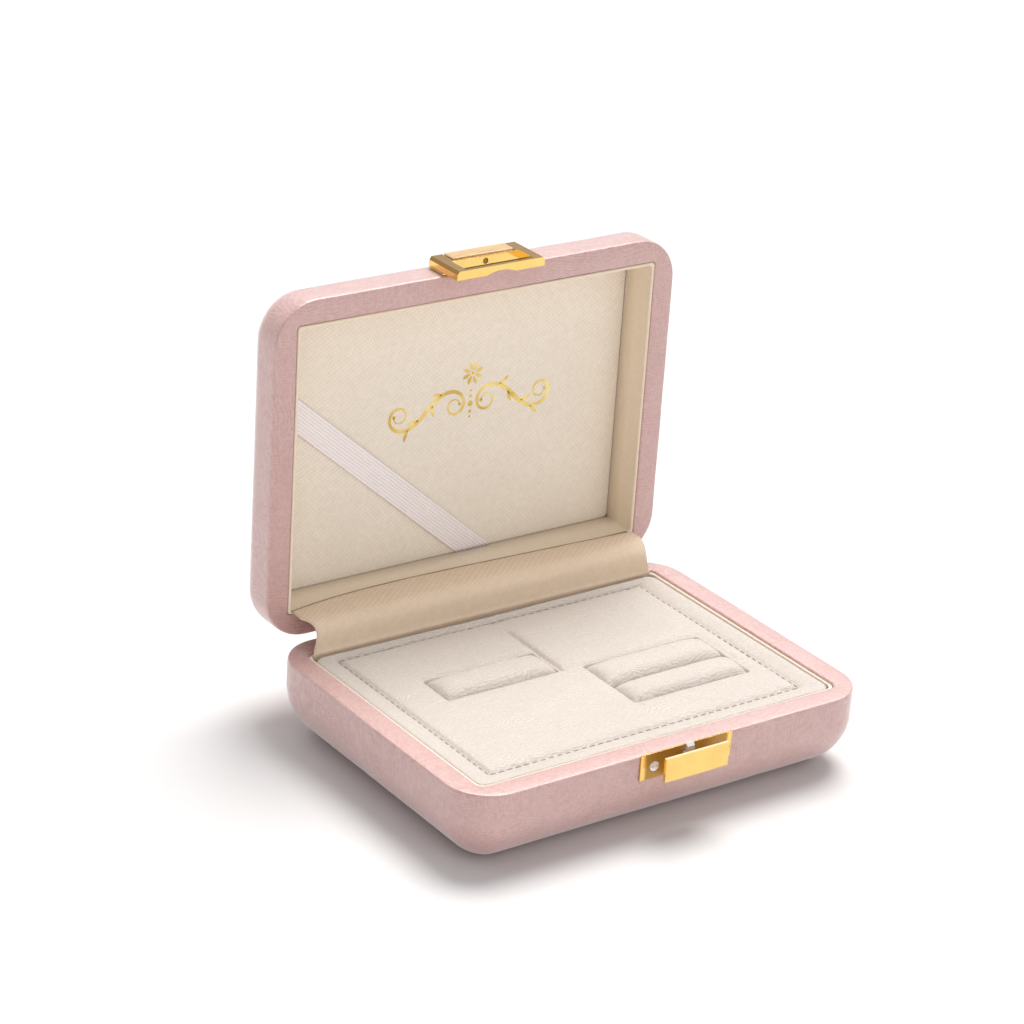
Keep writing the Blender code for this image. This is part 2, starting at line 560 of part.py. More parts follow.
def add_hasp(pivot, leather, core):
    """The hasp on the lid. In the pivot's frame the front wall faces -Y and the meeting plane is at rim."""
    rim = HINGE_BELOW
    front = FRONT_Y - HINGE_Y
    top = rim + HASP_RISE

    def at(out):
        return front - out

    def across(width):
        return HASP_X - width / 2, HASP_X + width / 2

    left, right = across(HASP_WIDTH)
    plate = add_box("hasp_plate", (left, at(PLATE_OUT), rim + PLATE_TOP + GAP), (right, at(SNUG), top),
                    "gold", pivot)
    head_radius, head_height, shank_radius, length = HASP_PLATE_SCREW
    for word, sign in (("left", -1), ("right", 1)):
        place = (HASP_X + sign * HASP_SCREW_X, at(SNUG + PLATE_THICKNESS / 2), rim + HASP_SCREW_RISE)
        add_screw("hasp_plate_screw_" + word, place, 1, HASP_PLATE_SCREW, "gold", pivot)
        drill("hasp_plate_hole_" + word, place, head_radius + SNUG, 3 * head_height, [plate], pivot)
        drill("hasp_wall_hole_" + word, (place[0], front + length / 2, place[2]), shank_radius + GAP,
              length + 4 * GAP, [leather, core], pivot)

    # a frame with a window, a seat for the bar, sloped sides and a scalloped lower bar
    frame = add_box("hasp_frame", (left, at(HASP_OUT), rim - HASP_DROP), (right, at(HASP_IN), top),
                    "gold", pivot)
    window_left, window_right = across(WINDOW_WIDTH)
    window_top = rim + WINDOW_TOP
    window = add_box("hasp_window", (window_left, at(HASP_OUT + CLEAR), rim - WINDOW_LOW),
                     (window_right, at(HASP_IN - CLEAR), window_top), None, pivot)
    seat_left, seat_right = across(BAR_WIDTH + 2 * FIT)
    seat_out = HASP_OUT - SEAT_DEPTH
    seat_low = window_top + BAR_GAP
    seat = add_box("bar_seat", (seat_left, at(HASP_OUT + CLEAR), seat_low),
                   (seat_right, at(seat_out), top + CLEAR), None, pivot)
    bar_height = HASP_DROP - WINDOW_LOW
    scallop = add_cylinder("bar_scallop", (HASP_X, at(HASP_IN + SCALLOP_DEPTH - SCALLOP_RADIUS),
                                           rim - HASP_DROP + bar_height / 2),
                           SCALLOP_RADIUS, 2 * bar_height, "Z", None, pivot, sides=64)
    cut(frame, window, seat, scallop)
    for word, sign in (("left", -1), ("right", 1)):
        angle = math.radians(SLOPE_TURN)
        half = CLEAR
        reach = HASP_WIDTH / 2 - SLOPE_WIDTH * math.sin(angle) * math.cos(angle)
        corner = Vector((sign * reach, at(HASP_OUT)))
        middle = corner + half * Vector((sign * math.cos(angle), -math.sin(angle)))
        slope = add_box("hasp_slope_" + word, (-half, -2 * half, -4 * half), (half, 2 * half, 4 * half),
                        None, pivot)
        slope.location = (HASP_X + middle.x, middle.y, rim)
        slope.rotation_euler = (0, 0, -sign * angle)
        cut(frame, slope)

    bar_left, bar_right = across(BAR_WIDTH)
    add_box("hasp_bar", (bar_left, at(HASP_OUT + BAR_PROUD), seat_low + SNUG),
            (bar_right, at(seat_out + SNUG), top - FIT), "gold", pivot, bevel=FIT)

    screw_y = at(EDGE_SCREW_OUT)
    screw_z = window_top + EDGE_RECESS / 2
    head = add_cylinder("hasp_screw", (HASP_X, screw_y, screw_z), EDGE_SCREW_RADIUS, EDGE_RECESS / 2, "Z",
                        "steel", pivot)
    shank_length = 2.2 * MM
    shank = add_cylinder("hasp_screw_shank", (HASP_X, screw_y, screw_z + shank_length / 2),
                         EDGE_SHANK_RADIUS, shank_length, "Z", None, pivot, sides=10)
    join(head, shank)
    bore = add_cylinder("hasp_screw_bore", (HASP_X, screw_y, screw_z + shank_length / 2),
                        EDGE_SHANK_RADIUS + SNUG, shank_length + GAP, "Z", None, pivot, sides=12)
    recess = add_cylinder("hasp_screw_recess", (HASP_X, screw_y, window_top), EDGE_SCREW_RADIUS + SNUG,
                          2 * EDGE_RECESS, "Z", None, pivot)
    cut(frame, bore, recess)


# ---------------------------------------------------------------- lid trim and gusset
def add_ribbon(pivot):
    """An elastic ribbon across the lid's lower left corner, tucked in at the lining."""
    edge = HALF_X + LINING_IN - GAP
    low_y = HALF_Y + LINING_IN - GAP
    middle = Vector((-edge, RIBBON_SIDE_Y))
    end = Vector((RIBBON_LOW_X, low_y))
    slope = (end - middle).normalized()
    rise = RIBBON_WIDTH / 2 / slope.x
    run = RIBBON_WIDTH / 2 / slope.y
    outline = ((-edge, middle.y - rise), (end.x + run, low_y), (end.x - run, low_y), (-edge, middle.y + rise))
    depth = PANEL_TOP - GAP
    rings = [[(px, py - HINGE_Y, HINGE_BELOW + z) for px, py in outline]
             for z in (depth - RIBBON_THICKNESS, depth)]
    loft("ribbon_strap", rings, "ribbon", (0, 0, 0), pivot)


def add_gusset():
    """The soft strip from behind the pad, up and back over the lid's lower lining."""
    play = 0.15 * MM
    lower_y = HALF_Y + LINING_IN - GAP - play - GUSSET_THICKNESS / 2
    upper_z = HINGE_Z + HINGE_Y - HALF_Y - LINING_IN + play + GUSSET_THICKNESS / 2
    path = [(lower_y, RIM_Z - GUSSET_DROP), (lower_y, upper_z - GUSSET_BEND)]
    steps = 6
    for step in range(1, steps):
        angle = math.pi / 2 * step / steps
        path.append((lower_y + GUSSET_BEND * (1 - math.cos(angle)),
                     upper_z - GUSSET_BEND * (1 - math.sin(angle))))
    path += [(lower_y + GUSSET_BEND, upper_z), (HINGE_Y + GUSSET_REACH, upper_z)]
    bm = bmesh.new()
    half = HALF_X + LINING_IN - GUSSET_END
    rows = [[bm.verts.new((x, y, z)) for y, z in path] for x in (-half, half)]
    for i in range(len(path) - 1):
        bm.faces.new((rows[0][i], rows[1][i], rows[1][i + 1], rows[0][i + 1]))
    gusset = add_mesh("hinge_gusset", bm, "gusset_cloth")
    mod = gusset.modifiers.new("thickness", "SOLIDIFY")
    mod.thickness = GUSSET_THICKNESS
    mod.offset = 0
    mod.use_even_offset = True


# ---------------------------------------------------------------- the case
def build():
    rim = (0, 0, RIM_Z)
    base_leather = add_leather("base_leather", BASE_HEIGHT, BASE_CURVE_IN, BASE_CURVE_UP, -1, rim)
    base_core = add_core("base_shell", BASE_HEIGHT, BASE_CURVE_IN, BASE_CURVE_UP, BASE_FLOOR, -1, rim)
    add_lining("base_lining", BASE_FLOOR - GAP, -1, rim)
    add_pad()

    # the lid is modelled shut and turned open on the hinge axis
    pivot = bpy.data.objects.new("lid_pivot", None)
    pivot.location = (0, HINGE_Y, HINGE_Z)
    pivot.rotation_euler = (-math.pi / 2, 0, 0)
    parts.objects.link(pivot)
    lid = (0, -HINGE_Y, HINGE_BELOW)
    lid_leather = add_leather("lid_leather", LID_HEIGHT, LID_CURVE_IN, LID_CURVE_UP, 1, lid, pivot)
    lid_core = add_core("lid_shell", LID_HEIGHT, LID_CURVE_IN, LID_CURVE_UP, LID_FLOOR, 1, lid, pivot)
    add_lining("lid_lining", PANEL_TOP - GAP, 1, lid, pivot)
    panel = rings_of([(-FIT, PANEL_TOP, OPENING_CORNER),
                      (-FIT, PANEL_TOP + PANEL_THICKNESS, OPENING_CORNER)], 1)
    loft("lid_panel", panel, "panel_cloth", lid, pivot)
    add_ribbon(pivot)

    add_lock(base_leather, base_core)
    add_hasp(pivot, lid_leather, lid_core)
    add_hinges(pivot, (base_leather, base_core), (lid_leather, lid_core))
    add_gusset()


clear_scene()
parts = collection("leather_jewellery_case")
cutters = collection("cutters")
build()
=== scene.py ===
"""The looks of the leather jewellery case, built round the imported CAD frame.

Metres in the row frame: +X right, +Y back, +Z up. The case's two halves share functions that
take a plan position and a depth, measured from the plane where the rims meet.
"""

import json
import math

import bmesh
import bpy
import numpy as np
from mathutils import Matrix, Vector, noise

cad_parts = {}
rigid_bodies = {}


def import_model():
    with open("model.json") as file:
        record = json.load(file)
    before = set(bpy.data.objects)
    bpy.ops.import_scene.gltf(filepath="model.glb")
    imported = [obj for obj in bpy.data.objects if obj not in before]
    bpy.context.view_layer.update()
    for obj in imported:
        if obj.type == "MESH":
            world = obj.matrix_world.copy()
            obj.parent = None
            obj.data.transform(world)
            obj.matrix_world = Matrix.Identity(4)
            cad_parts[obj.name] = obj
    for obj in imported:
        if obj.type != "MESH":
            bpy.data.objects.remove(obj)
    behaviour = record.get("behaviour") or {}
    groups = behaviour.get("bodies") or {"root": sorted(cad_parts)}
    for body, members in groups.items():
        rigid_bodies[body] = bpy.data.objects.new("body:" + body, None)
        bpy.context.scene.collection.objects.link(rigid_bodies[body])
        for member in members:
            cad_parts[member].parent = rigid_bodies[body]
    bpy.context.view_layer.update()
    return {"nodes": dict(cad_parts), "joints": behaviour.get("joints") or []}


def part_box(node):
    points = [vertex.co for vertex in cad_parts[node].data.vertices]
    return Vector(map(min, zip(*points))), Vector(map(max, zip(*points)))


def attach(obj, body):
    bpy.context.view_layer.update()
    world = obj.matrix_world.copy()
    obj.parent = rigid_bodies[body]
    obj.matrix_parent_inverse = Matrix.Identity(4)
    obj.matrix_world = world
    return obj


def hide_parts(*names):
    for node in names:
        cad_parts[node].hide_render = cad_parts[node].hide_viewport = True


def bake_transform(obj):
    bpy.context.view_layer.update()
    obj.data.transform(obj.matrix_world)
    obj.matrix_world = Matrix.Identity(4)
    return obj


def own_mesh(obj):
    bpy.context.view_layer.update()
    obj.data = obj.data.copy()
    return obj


MM = 0.001
TAU = 2 * math.pi

for leftover in list(bpy.data.objects):
    bpy.data.objects.remove(leftover, do_unlink=True)
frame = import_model()

# ---- light and camera
SKY_LOW = 0.47  # the sky's strength at the horizon
SKY_HIGH = 0.62  # and overhead
SKY_LEFT = 0.62  # its share on the left, the right's being 1
SKY_FRONT = 0.85  # in front
SKY_BACK = 1.75  # and behind
SKY_COLOR = (1.0, 0.985, 0.985, 1)
SUN_COLOR = (1.0, 0.985, 0.97)
KEY_POWER = 2.95
KEY_SOFTNESS = 31.0  # degrees across, as the fill's
KEY_FROM = (0.315, 0.245, 0.92)
FILL_POWER = 0.68
FILL_SOFTNESS = 70.0
FILL_FROM = (-0.12, -0.93, 0.35)
FLOOR_SIZE = 6.0
FLOOR_DROP = 0.05 * MM

CAMERA_PLACE = (-0.39306, -0.50505, 0.34086)
CAMERA_AZIMUTH = math.radians(-36.509)
CAMERA_ELEVATION = math.radians(23.997)
CAMERA_ROLL = math.radians(3.845)
CAMERA_LENS = 113.67
CAMERA_SENSOR = 36.0

# ---- sizes shared by the pieces
RIM_GAP = 0.15 * MM  # each rim stops this far from the meeting plane
FIT = 0.2 * MM  # clearance between glued layers
SKIN = 0.7 * MM  # leather's thickness
LINING = 0.45 * MM  # lining's thickness
LINED = -FIT - LINING  # offset of the linings' faces from the opening's edge

base_low, base_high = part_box("base_leather")
lid_low, lid_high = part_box("lid_leather")
lining_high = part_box("base_lining")[1]
panel_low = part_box("lid_panel")[0]
pad_low, pad_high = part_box("ring_pad")

HALF_X = lining_high.x + FIT  # half the openings in plan
HALF_Y = lining_high.y + FIT
INSIDE_X = HALF_X + LINED  # half the room between the linings
INSIDE_Y = HALF_Y + LINED
WALL = base_high.x - HALF_X
RIM_Z = base_high.z + RIM_GAP  # the plane where the rims meet
JOINTS = {joint["name"]: joint for joint in frame["joints"]}
HINGE_Y, HINGE_Z = JOINTS["lid_hinge"]["pos_m"][1:]
LID_RIM_Y = HINGE_Y + RIM_Z - HINGE_Z
BUTTON_TRAVEL = JOINTS["button_press"]["range_m"][1]
LID_HEIGHT = lid_high.y - LID_RIM_Y
PANEL_DEPTH = panel_low.y - LID_RIM_Y
PAD_Z = pad_high.z

# ---- leather shells
TURN_DOWN = 3.0 * MM  # leather turned down inside the opening
EDGE_DROP = 0.9 * MM  # height of the rim's rounded outer edge
BULGE = 0.35 * MM  # width of that edge
RIM_CROWN = 0.1 * MM  # rise of the rim between its edges
RIM_ROLL = 0.45 * MM  # radius of its inner edge
RIM_CORNER = 10.0 * MM  # plan radii of the outer corners, here and further in
LEAST_CORNER = 3.0 * MM
BASE_OPENING_CORNER = 2.0 * MM
LID_OPENING_CORNER = 0.8 * MM
BASE_CURVE = (12.0 * MM, 13.0 * MM)  # width and height of the round from wall to outer face
LID_CURVE = (11.0 * MM, 7.5 * MM)
UNEVEN = 0.07 * MM  # how far the leather strays from its board
PIN_ROOM = (1.45 * MM, 0.8 * MM)  # radius cut for a hinge pin, and length beyond it
CATCH_ROOM = 0.25 * MM
CATCH_DROP = 1.2 * MM  # how far the cut for the catch goes below it

# ---- linings and panel
BASE_BAND_BOTTOM = 12.0 * MM
LID_BAND_BOTTOM = PANEL_DEPTH + 0.4 * MM
BASE_LIP = (0.3 * MM, 0.9 * MM)  # radius and depth of the rolled lip
LID_LIP = (0.36 * MM, 0.5 * MM)
PANEL_EDGE = 0.2 * MM  # radius of the panel's rolled edge
PANEL_CORNER = 0.8 * MM
PANEL_THICKNESS = 0.6 * MM
PANEL_RISE = 0.04 * MM

# ---- ribbon, in plan when the lid is shut
RIBBON_TUCK = 0.05 * MM  # room left between its ends and the linings
RIBBON_START = np.array((RIBBON_TUCK - INSIDE_X, -13.9 * MM))
RIBBON_END = np.array((8.2 * MM, INSIDE_Y - RIBBON_TUCK))
RIBBON_WAY = (RIBBON_END - RIBBON_START) / np.linalg.norm(RIBBON_END - RIBBON_START)
RIBBON_WIDTH = 6.3 * MM
RIBBON_THICKNESS = 0.25 * MM
RIBBON_LIFT = 0.55 * MM  # its face above the panel's
RIBBON_SINK = 0.35 * MM  # drop towards its ends
RIBBON_RIBS = 9
RIB_HEIGHT = 0.12 * MM

# ---- foil ornament
FOIL_FACES = (PANEL_DEPTH - 0.12 * MM, PANEL_DEPTH - 0.02 * MM)
FOIL_X = 5.1 * MM
FOIL_Z = 62.6 * MM
SCROLL_SCALE = 10.6 * MM
SCROLL_SIDE = 12.0 * MM  # from the ornament's middle to a scroll's
SCROLL_END = 0.45 * MM
SCROLL_LEAF = (3.0 * MM, 0.8 * MM)  # length and width
ROSETTE_X = 5.4 * MM
ROSETTE_Z = 70.0 * MM
ROSETTE_LEAVES = 8
ROSETTE_HUB = 0.55 * MM  # radius that its leaves grow from
ROSETTE_LEAF = (2.2 * MM, 0.85 * MM)

# ---- pad
PAD_TOP = PAD_Z + 0.1 * MM
PAD_SWELL = (0.35 * MM, 9.0 * MM)  # rise towards the middle, and its reach from the stitching
PAD_BORDER = 0.75 * MM  # rise of the border outside the stitching
PAD_CORNER = 2.2 * MM  # plan radius of the pad's corners
PAD_ROUND = 0.75 * MM  # radius of its top edge
PAD_EDGE_X = INSIDE_X - 0.25 * MM
PAD_FRONT = 0.25 * MM - INSIDE_Y
PAD_BACK = pad_high.y
STITCH_X = 41.8 * MM
STITCH_FRONT = -28.6 * MM
STITCH_BACK = 30.3 * MM
STITCH_PITCH = 2.1 * MM
STITCH_SIZE = (0.82 * MM, 0.14 * MM)  # half a stitch's length and width
STITCH_Z = PAD_Z - 0.36 * MM
STITCH_ARCH = 0.16 * MM
GROOVE = (0.45 * MM, 1.1 * MM)  # depth and reach inside the stitching
BORDER_GROOVE = 0.4 * MM  # depth outside it
SLIT_CORNER = 0.6 * MM
SLIT_SAG = (0.4 * MM, 0.9 * MM)  # droop beside a slit, and its reach
SLIT_DROP = (5.5 * MM, 0.5 * MM)  # depth of a slit, and the width of its slope
FOLD_X = -0.5 * MM  # a stitched fold up the middle
FOLD_FRONT = 1.5 * MM
FOLD_BACK = 25.5 * MM
FOLD_FADE = 2.0 * MM
FOLD_SIZE = (0.6 * MM, 0.45 * MM)  # depth and width
PUCKER_PITCH = 3.1 * MM
GRID_STEP = 1.0 * MM  # the pad's mesh, and near its stitching, slits and fold
GRID_FINE = 0.16 * MM
GRID_NEAR = 0.6 * MM
FIELD_CLOTH = (0.8, 0.03, 0.3 * MM)  # pressure, growth and the furthest a point may move
ROLL_CLOTH = (3.0, 0.03, 0.15 * MM)
CLOTH_SCALE = 100.0  # cloth behaves at this many times real size
CLOTH_FRAMES = 20
ROLL_RISE = 1.55 * MM  # a roll's crown above the pad
ROLL_DROOP = 2.4 * MM  # fall of that crown at its ends
ROLL_WAIST = PAD_Z - 1.6 * MM  # height of its widest line
ROLL_HELD = PAD_Z - 0.9 * MM  # below this the slit holds it
ROLLS = {name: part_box(name)
         for name in ("ring_roll_left", "ring_roll_right_back", "ring_roll_right_front")}
# plan boxes of the two slits that the rolls sit in
POCKETS = [(front[0].x, front[0].y, back[1].x, back[1].y)
           for front, back in ((ROLLS["ring_roll_left"], ROLLS["ring_roll_left"]),
                               (ROLLS["ring_roll_right_front"], ROLLS["ring_roll_right_back"]))]

# ---- gusset
GUSSET_BOTTOM = RIM_Z - 3.5 * MM
GUSSET_Y = INSIDE_Y - 0.6 * MM  # behind the pad
GUSSET_LEAN = 0.15 * MM
GUSSET_Z = HINGE_Z + HINGE_Y - INSIDE_Y + 0.3 * MM  # over the lid's lower lining
GUSSET_CORNER = 3.2 * MM
GUSSET_END_Y = HINGE_Y + 3.4 * MM
GUSSET_HALF = INSIDE_X - 0.35 * MM
GUSSET_THICKNESS = 0.3 * MM
GUSSET_SCOOP = 1.5 * MM  # how far its sides draw in
PIPING = (0.4 * MM, 0.45 * MM)  # rise and width of the cord under its lower edge
PIPING_Z = PAD_Z + 1.4 * MM
# its edge on the lid's lining: y over x, both in millimetres
GUSSET_SEAM = np.polyfit((-48, -28, -11, 4.5, 23.5, 38, 47),
                         (41.4, 43.8, 44.2, 43.3, 42.3, 41.9, 41.0), 4)
# a dark cord of painted shade along the gusset's edge: its radius and its ends in x
SHADE_CORD_RADIUS = 0.23 * MM
SHADE_CORD_ENDS = (-47.2 * MM, 46.0 * MM)

# ---- metal
WIRE = 0.09 * MM  # the button's coil: wire radius and turns
COIL_TURNS = 3
BEVEL = 0.1 * MM
BEVEL_ANGLE = math.radians(35)
WELD = 0.005 * MM


def on_base(x, y, depth):
    return (x, y, RIM_Z - depth)


def on_lid(x, y, depth):
    """A place in the lid: plan x and y as when it is shut, and depth into the lid."""
    return (x, LID_RIM_Y + depth, HINGE_Z + HINGE_Y - y)


# ---- node materials
class Nodes:
    """Short names for building the node tree of a material or world."""

    def __init__(self, owner):
        owner.use_nodes = True
        self.owner = owner
        self.tree = owner.node_tree

    def add(self, kind, settings=(), **inputs):
        node = self.tree.nodes.new("ShaderNode" + kind)
        for key, value in dict(settings).items():
            setattr(node, key, value)
        for key, value in inputs.items():
            self.put(node.inputs[key.replace("_", " ")], value)
        return node

    def put(self, socket, value):
        if isinstance(value, bpy.types.NodeSocket):
            self.tree.links.new(value, socket)
        elif isinstance(value, bpy.types.Node):
            self.tree.links.new(value.outputs[0], socket)
        else:
            socket.default_value = value

    def math(self, operation, a, b=0.0):
        node = self.add("Math", {"operation": operation})
        self.put(node.inputs[0], a)
        self.put(node.inputs[1], b)
        return node.outputs[0]

    def blend(self, a, share_a, b, share_b):
        """A weighted sum of two patterns."""
        second = self.math("MULTIPLY", b, share_b)
        return self.math("ADD", self.math("MULTIPLY", a, share_a), second)

    def mix(self, factor, a, b):
        node = self.add("Mix", {"data_type": "RGBA"})
        for key, value in (("Factor", factor), ("A", a), ("B", b)):
            self.put(node.inputs[key], (*value, 1) if isinstance(value, tuple) else value)
        return node.outputs["Result"]

    def ramp(self, value, low, high, to_low=0.0, to_high=1.0):
        node = self.add("MapRange", Value=value, From_Min=low, From_Max=high, To_Min=to_low,
                        To_Max=to_high)
        return node.outputs[0]

    def place(self, scale=(1, 1, 1), turn=(0, 0, 0)):
        coordinates = self.add("TexCoord").outputs["Object"]
        return self.add("Mapping", Vector=coordinates, Scale=scale, Rotation=turn).outputs[0]

    def noise(self, vector, scale, detail=2.0, roughness=0.5, output="Fac"):
        node = self.add("TexNoise", Vector=vector, Scale=scale, Detail=detail, Roughness=roughness)
        return node.outputs[output]

    def vector_math(self, operation, a, b, output="Vector"):
        node = self.add("VectorMath", {"operation": operation})
        self.put(node.inputs[0], a)
        self.put(node.inputs["Scale" if operation == "SCALE" else 1], b)
        return node.outputs[output]

    def warp(self, vector, scale, amount):
        """The vector pushed about by noise, so that a pattern on it wanders."""
        cloud = self.noise(vector, scale, output="Color")
        centred = self.vector_math("SUBTRACT", cloud, (0.5, 0.5, 0.5))
        return self.vector_math("ADD", vector, self.vector_math("SCALE", centred, amount))

    def cells(self, vector, scale):
        return self.add("TexVoronoi", Vector=vector, Scale=scale).outputs["Distance"]

    def wave(self, vector, scale, direction="X", distortion=0.0, detail_scale=1.0):
        node = self.add("TexWave", {"bands_direction": direction}, Vector=vector, Scale=scale,
                        Distortion=distortion, Detail_Scale=detail_scale)
        return node.outputs["Fac"]

    def bump(self, height, distance, strength):
        return self.add("Bump", Height=height, Distance=distance, Strength=strength).outputs[0]

    def finish(self, color, roughness, normal=None, **others):
        shader = self.tree.nodes["Principled BSDF"]
        self.put(shader.inputs["Base Color"], color)
        self.put(shader.inputs["Roughness"], roughness)
        if normal is not None:
            self.put(shader.inputs["Normal"], normal)
        for name, value in others.items():
            self.put(shader.inputs[name.replace("_", " ")], value)
        return self.owner


def material(name):
    return Nodes(bpy.data.materials.new(name + "_look"))


def pink_leather():
    """Glazed goatskin: flowing ridges broken into pebbles, with paler flecks."""
    n = material("pink_leather")
    place = n.place()
    flow = n.wave(n.warp(place, 60.0, 0.012), 430.0, distortion=3.0, detail_scale=0.9)
    rows = n.wave(n.warp(place, 45.0, 0.014), 460.0, "Z", distortion=3.0, detail_scale=0.9)
    cells = n.cells(n.warp(place, 300.0, 0.0012), 1350.0)
    flecks = n.noise(n.warp(place, 220.0, 0.003), 1050.0, detail=4.0, roughness=0.62)
    flecks = n.ramp(flecks, 0.38, 0.62)
    regions = n.ramp(n.noise(place, 55.0, detail=3.0), 0.42, 0.58)
    ridges = n.blend(flow, regions, rows, n.math("SUBTRACT", 1.0, regions))
    grain = n.blend(ridges, 0.36, flecks, 0.36)
    grain = n.math("ADD", grain, n.math("MULTIPLY", cells, 0.50))
    color = n.mix(n.ramp(grain, 0.25, 0.95), (0.53, 0.295, 0.274), (0.655, 0.41, 0.384))
    pale = n.ramp(n.noise(place, 150.0, detail=5.0, roughness=0.6), 0.42, 0.66, 0.0, 0.3)
    color = n.mix(pale, color, (0.68, 0.455, 0.43))
    return n.finish(color, n.ramp(grain, 0.2, 0.9, 0.50, 0.38), n.bump(grain, 0.0002, 0.4),
                    Sheen_Weight=1.0, Sheen_Roughness=0.35, Sheen_Tint=(1.0, 0.98, 0.98, 1),
                    Specular_IOR_Level=0.85, IOR=1.6, Coat_Weight=0.6, Coat_Roughness=0.4)


def pad_leather():
    n = material("pad_leather")
    place = n.place()
    flow = n.wave(n.warp(place, 70.0, 0.009), 560.0, "Y", distortion=6.0, detail_scale=1.6)
    fine = n.noise(n.warp(place, 260.0, 0.002), 1500.0, detail=4.0, roughness=0.6)
    grain = n.blend(flow, 0.42, fine, 0.85)
    color = n.mix(n.ramp(grain, 0.35, 0.95), (0.57, 0.507, 0.455), (0.705, 0.645, 0.59))
    return n.finish(color, 0.6, n.bump(grain, 0.0002, 0.5), Sheen_Weight=0.3,
                    Sheen_Roughness=0.45, Specular_IOR_Level=0.35)


def woven(name, dark, light, pitch, depth, turn):
    """A fine twill: dots in diagonal rows, pitch apart."""
    n = material(name)
    place = n.warp(n.place(turn=turn), 900.0, 0.00012)
    bands = TAU / 20 / pitch
    dots = n.math("MULTIPLY", n.wave(place, bands), n.wave(place, bands / 1.4, "Z"))
    slub = n.noise(place, 750.0, detail=3.0, roughness=0.6)
    tone = n.blend(dots, 0.55, slub, 0.7)
    color = n.mix(n.ramp(tone, 0.2, 0.85), dark, light)
    color = n.mix(n.ramp(n.noise(place, 60.0), 0.35, 0.7, 0.0, 0.25), color, dark)
    return n.finish(color, 0.85, n.bump(tone, depth, 0.6), Sheen_Weight=0.2,
                    Sheen_Roughness=0.5, Specular_IOR_Level=0.2)


def gold(name, tint=(0.95, 0.66, 0.22), shade=(1.0, 0.84, 0.50), edge=1.0, within=None):
    """Polished gold. Faces turned up take a second tint, a painted reflection lighter or darker
    than the gold, and edge sets how metallic they look.

    Between two places in x, if given, the forward face is duller and painted dark bronze: painted
    shade of the shadowed channel behind the button.
    """
    n = material(name)
    place = n.place()
    smear = n.noise(place, 260.0, detail=4.0)
    split = n.add("SeparateXYZ", Vector=n.add("NewGeometry").outputs["Normal"])
    upward = n.ramp(split.outputs["Z"], 0.25, 0.6)
    # painted reflection: faces turned up get their own tint by which way they face
    color = n.mix(upward, tint, shade)
    rough = n.ramp(smear, 0.3, 0.7, 0.10, 0.18)
    metal = n.ramp(upward, 0.0, 1.0, 1.0, edge) if edge < 1 else 1.0
    if within:
        middle, half = (within[0] + within[1]) / 2, (within[1] - within[0]) / 2
        across = n.add("SeparateXYZ", Vector=place).outputs["X"]
        from_middle = n.math("ABSOLUTE", n.math("SUBTRACT", across, middle))
        inside = n.ramp(from_middle, half + 2.2 * MM, half + 2.8 * MM, 1.0, 0.0)
        # painted shade: forward faces between the two places painted dark, rougher and less
        # metallic
        channel_painted_shade = n.math("MULTIPLY", inside, n.ramp(split.outputs["Y"], -0.6, -0.9))
        color = n.mix(channel_painted_shade, color, (0.50, 0.27, 0.055))
        rough = n.math("ADD", rough, n.math("MULTIPLY", channel_painted_shade, 0.25))
        metal = n.math("SUBTRACT", metal, n.math("MULTIPLY", channel_painted_shade, 0.6))
    color = n.mix(n.ramp(smear, 0.3, 0.7, 0.14, 0.0), color, (0.25, 0.12, 0.03))
    return n.finish(color, rough, n.bump(smear, 0.00002, 0.12), Metallic=metal)


def foil_look():
    """Hot-stamped foil, a little broken by the twill under it."""
    n = material("foil")
    place = n.place()
    broken = n.noise(place, 1500.0, detail=3.0)
    patches = n.ramp(n.noise(place, 160.0), 0.35, 0.65)
    color = n.mix(patches, (0.62, 0.43, 0.10), (0.93, 0.74, 0.27))
    return n.finish(color, n.ramp(broken, 0.3, 0.7, 0.32, 0.5), n.bump(broken, 0.00005, 0.5),
                    Metallic=0.85)


def ribbon_look():
    """Elastic with a row of ribs along it, in step with the ribs of its mesh."""
    n = material("ribbon")
    place = n.place()
    way = (-RIBBON_WAY[1], 0, -RIBBON_WAY[0])
    across = n.vector_math("DOT_PRODUCT", place, way, output="Value")
    start = RIBBON_WAY[0] * (HINGE_Z + HINGE_Y - RIBBON_START[1])
    start += RIBBON_WAY[1] * RIBBON_START[0] + RIBBON_WIDTH / 2
    turns = n.math("MULTIPLY", n.math("ADD", across, start), math.pi * RIBBON_RIBS / RIBBON_WIDTH)
    rib = n.math("ABSOLUTE", n.math("SINE", turns))
    tone = n.blend(rib, 0.75, n.noise(place, 2200.0, detail=3.0), 0.35)
    color = n.mix(n.ramp(tone, 0.15, 0.85), (0.85, 0.75, 0.755), (1.0, 0.94, 0.94))
    return n.finish(color, 0.6, n.bump(tone, 0.0001, 0.4), Sheen_Weight=0.4, Sheen_Roughness=0.35)


def mottled(name, scale, colors, rough, bump, edges=(0.0, 1.0), stretch=(1, 1, 1), detail=3.0,
            **others):
    """One noise for colour, relief if given and, where rough is a pair, gloss."""
    n = material(name)
    cloud = n.noise(n.place(scale=stretch), scale, detail=detail)
    color = n.mix(n.ramp(cloud, *edges), *colors)
    rough = n.ramp(cloud, 0.3, 0.7, *rough) if isinstance(rough, tuple) else rough
    return n.finish(color, rough, n.bump(cloud, *bump) if bump else None, **others)


def thread(name, color):
    dark = tuple(c * 0.86 for c in color)
    return mottled(name, 1400.0, (dark, color), 0.7, (0.00008, 0.3), Sheen_Weight=0.2)


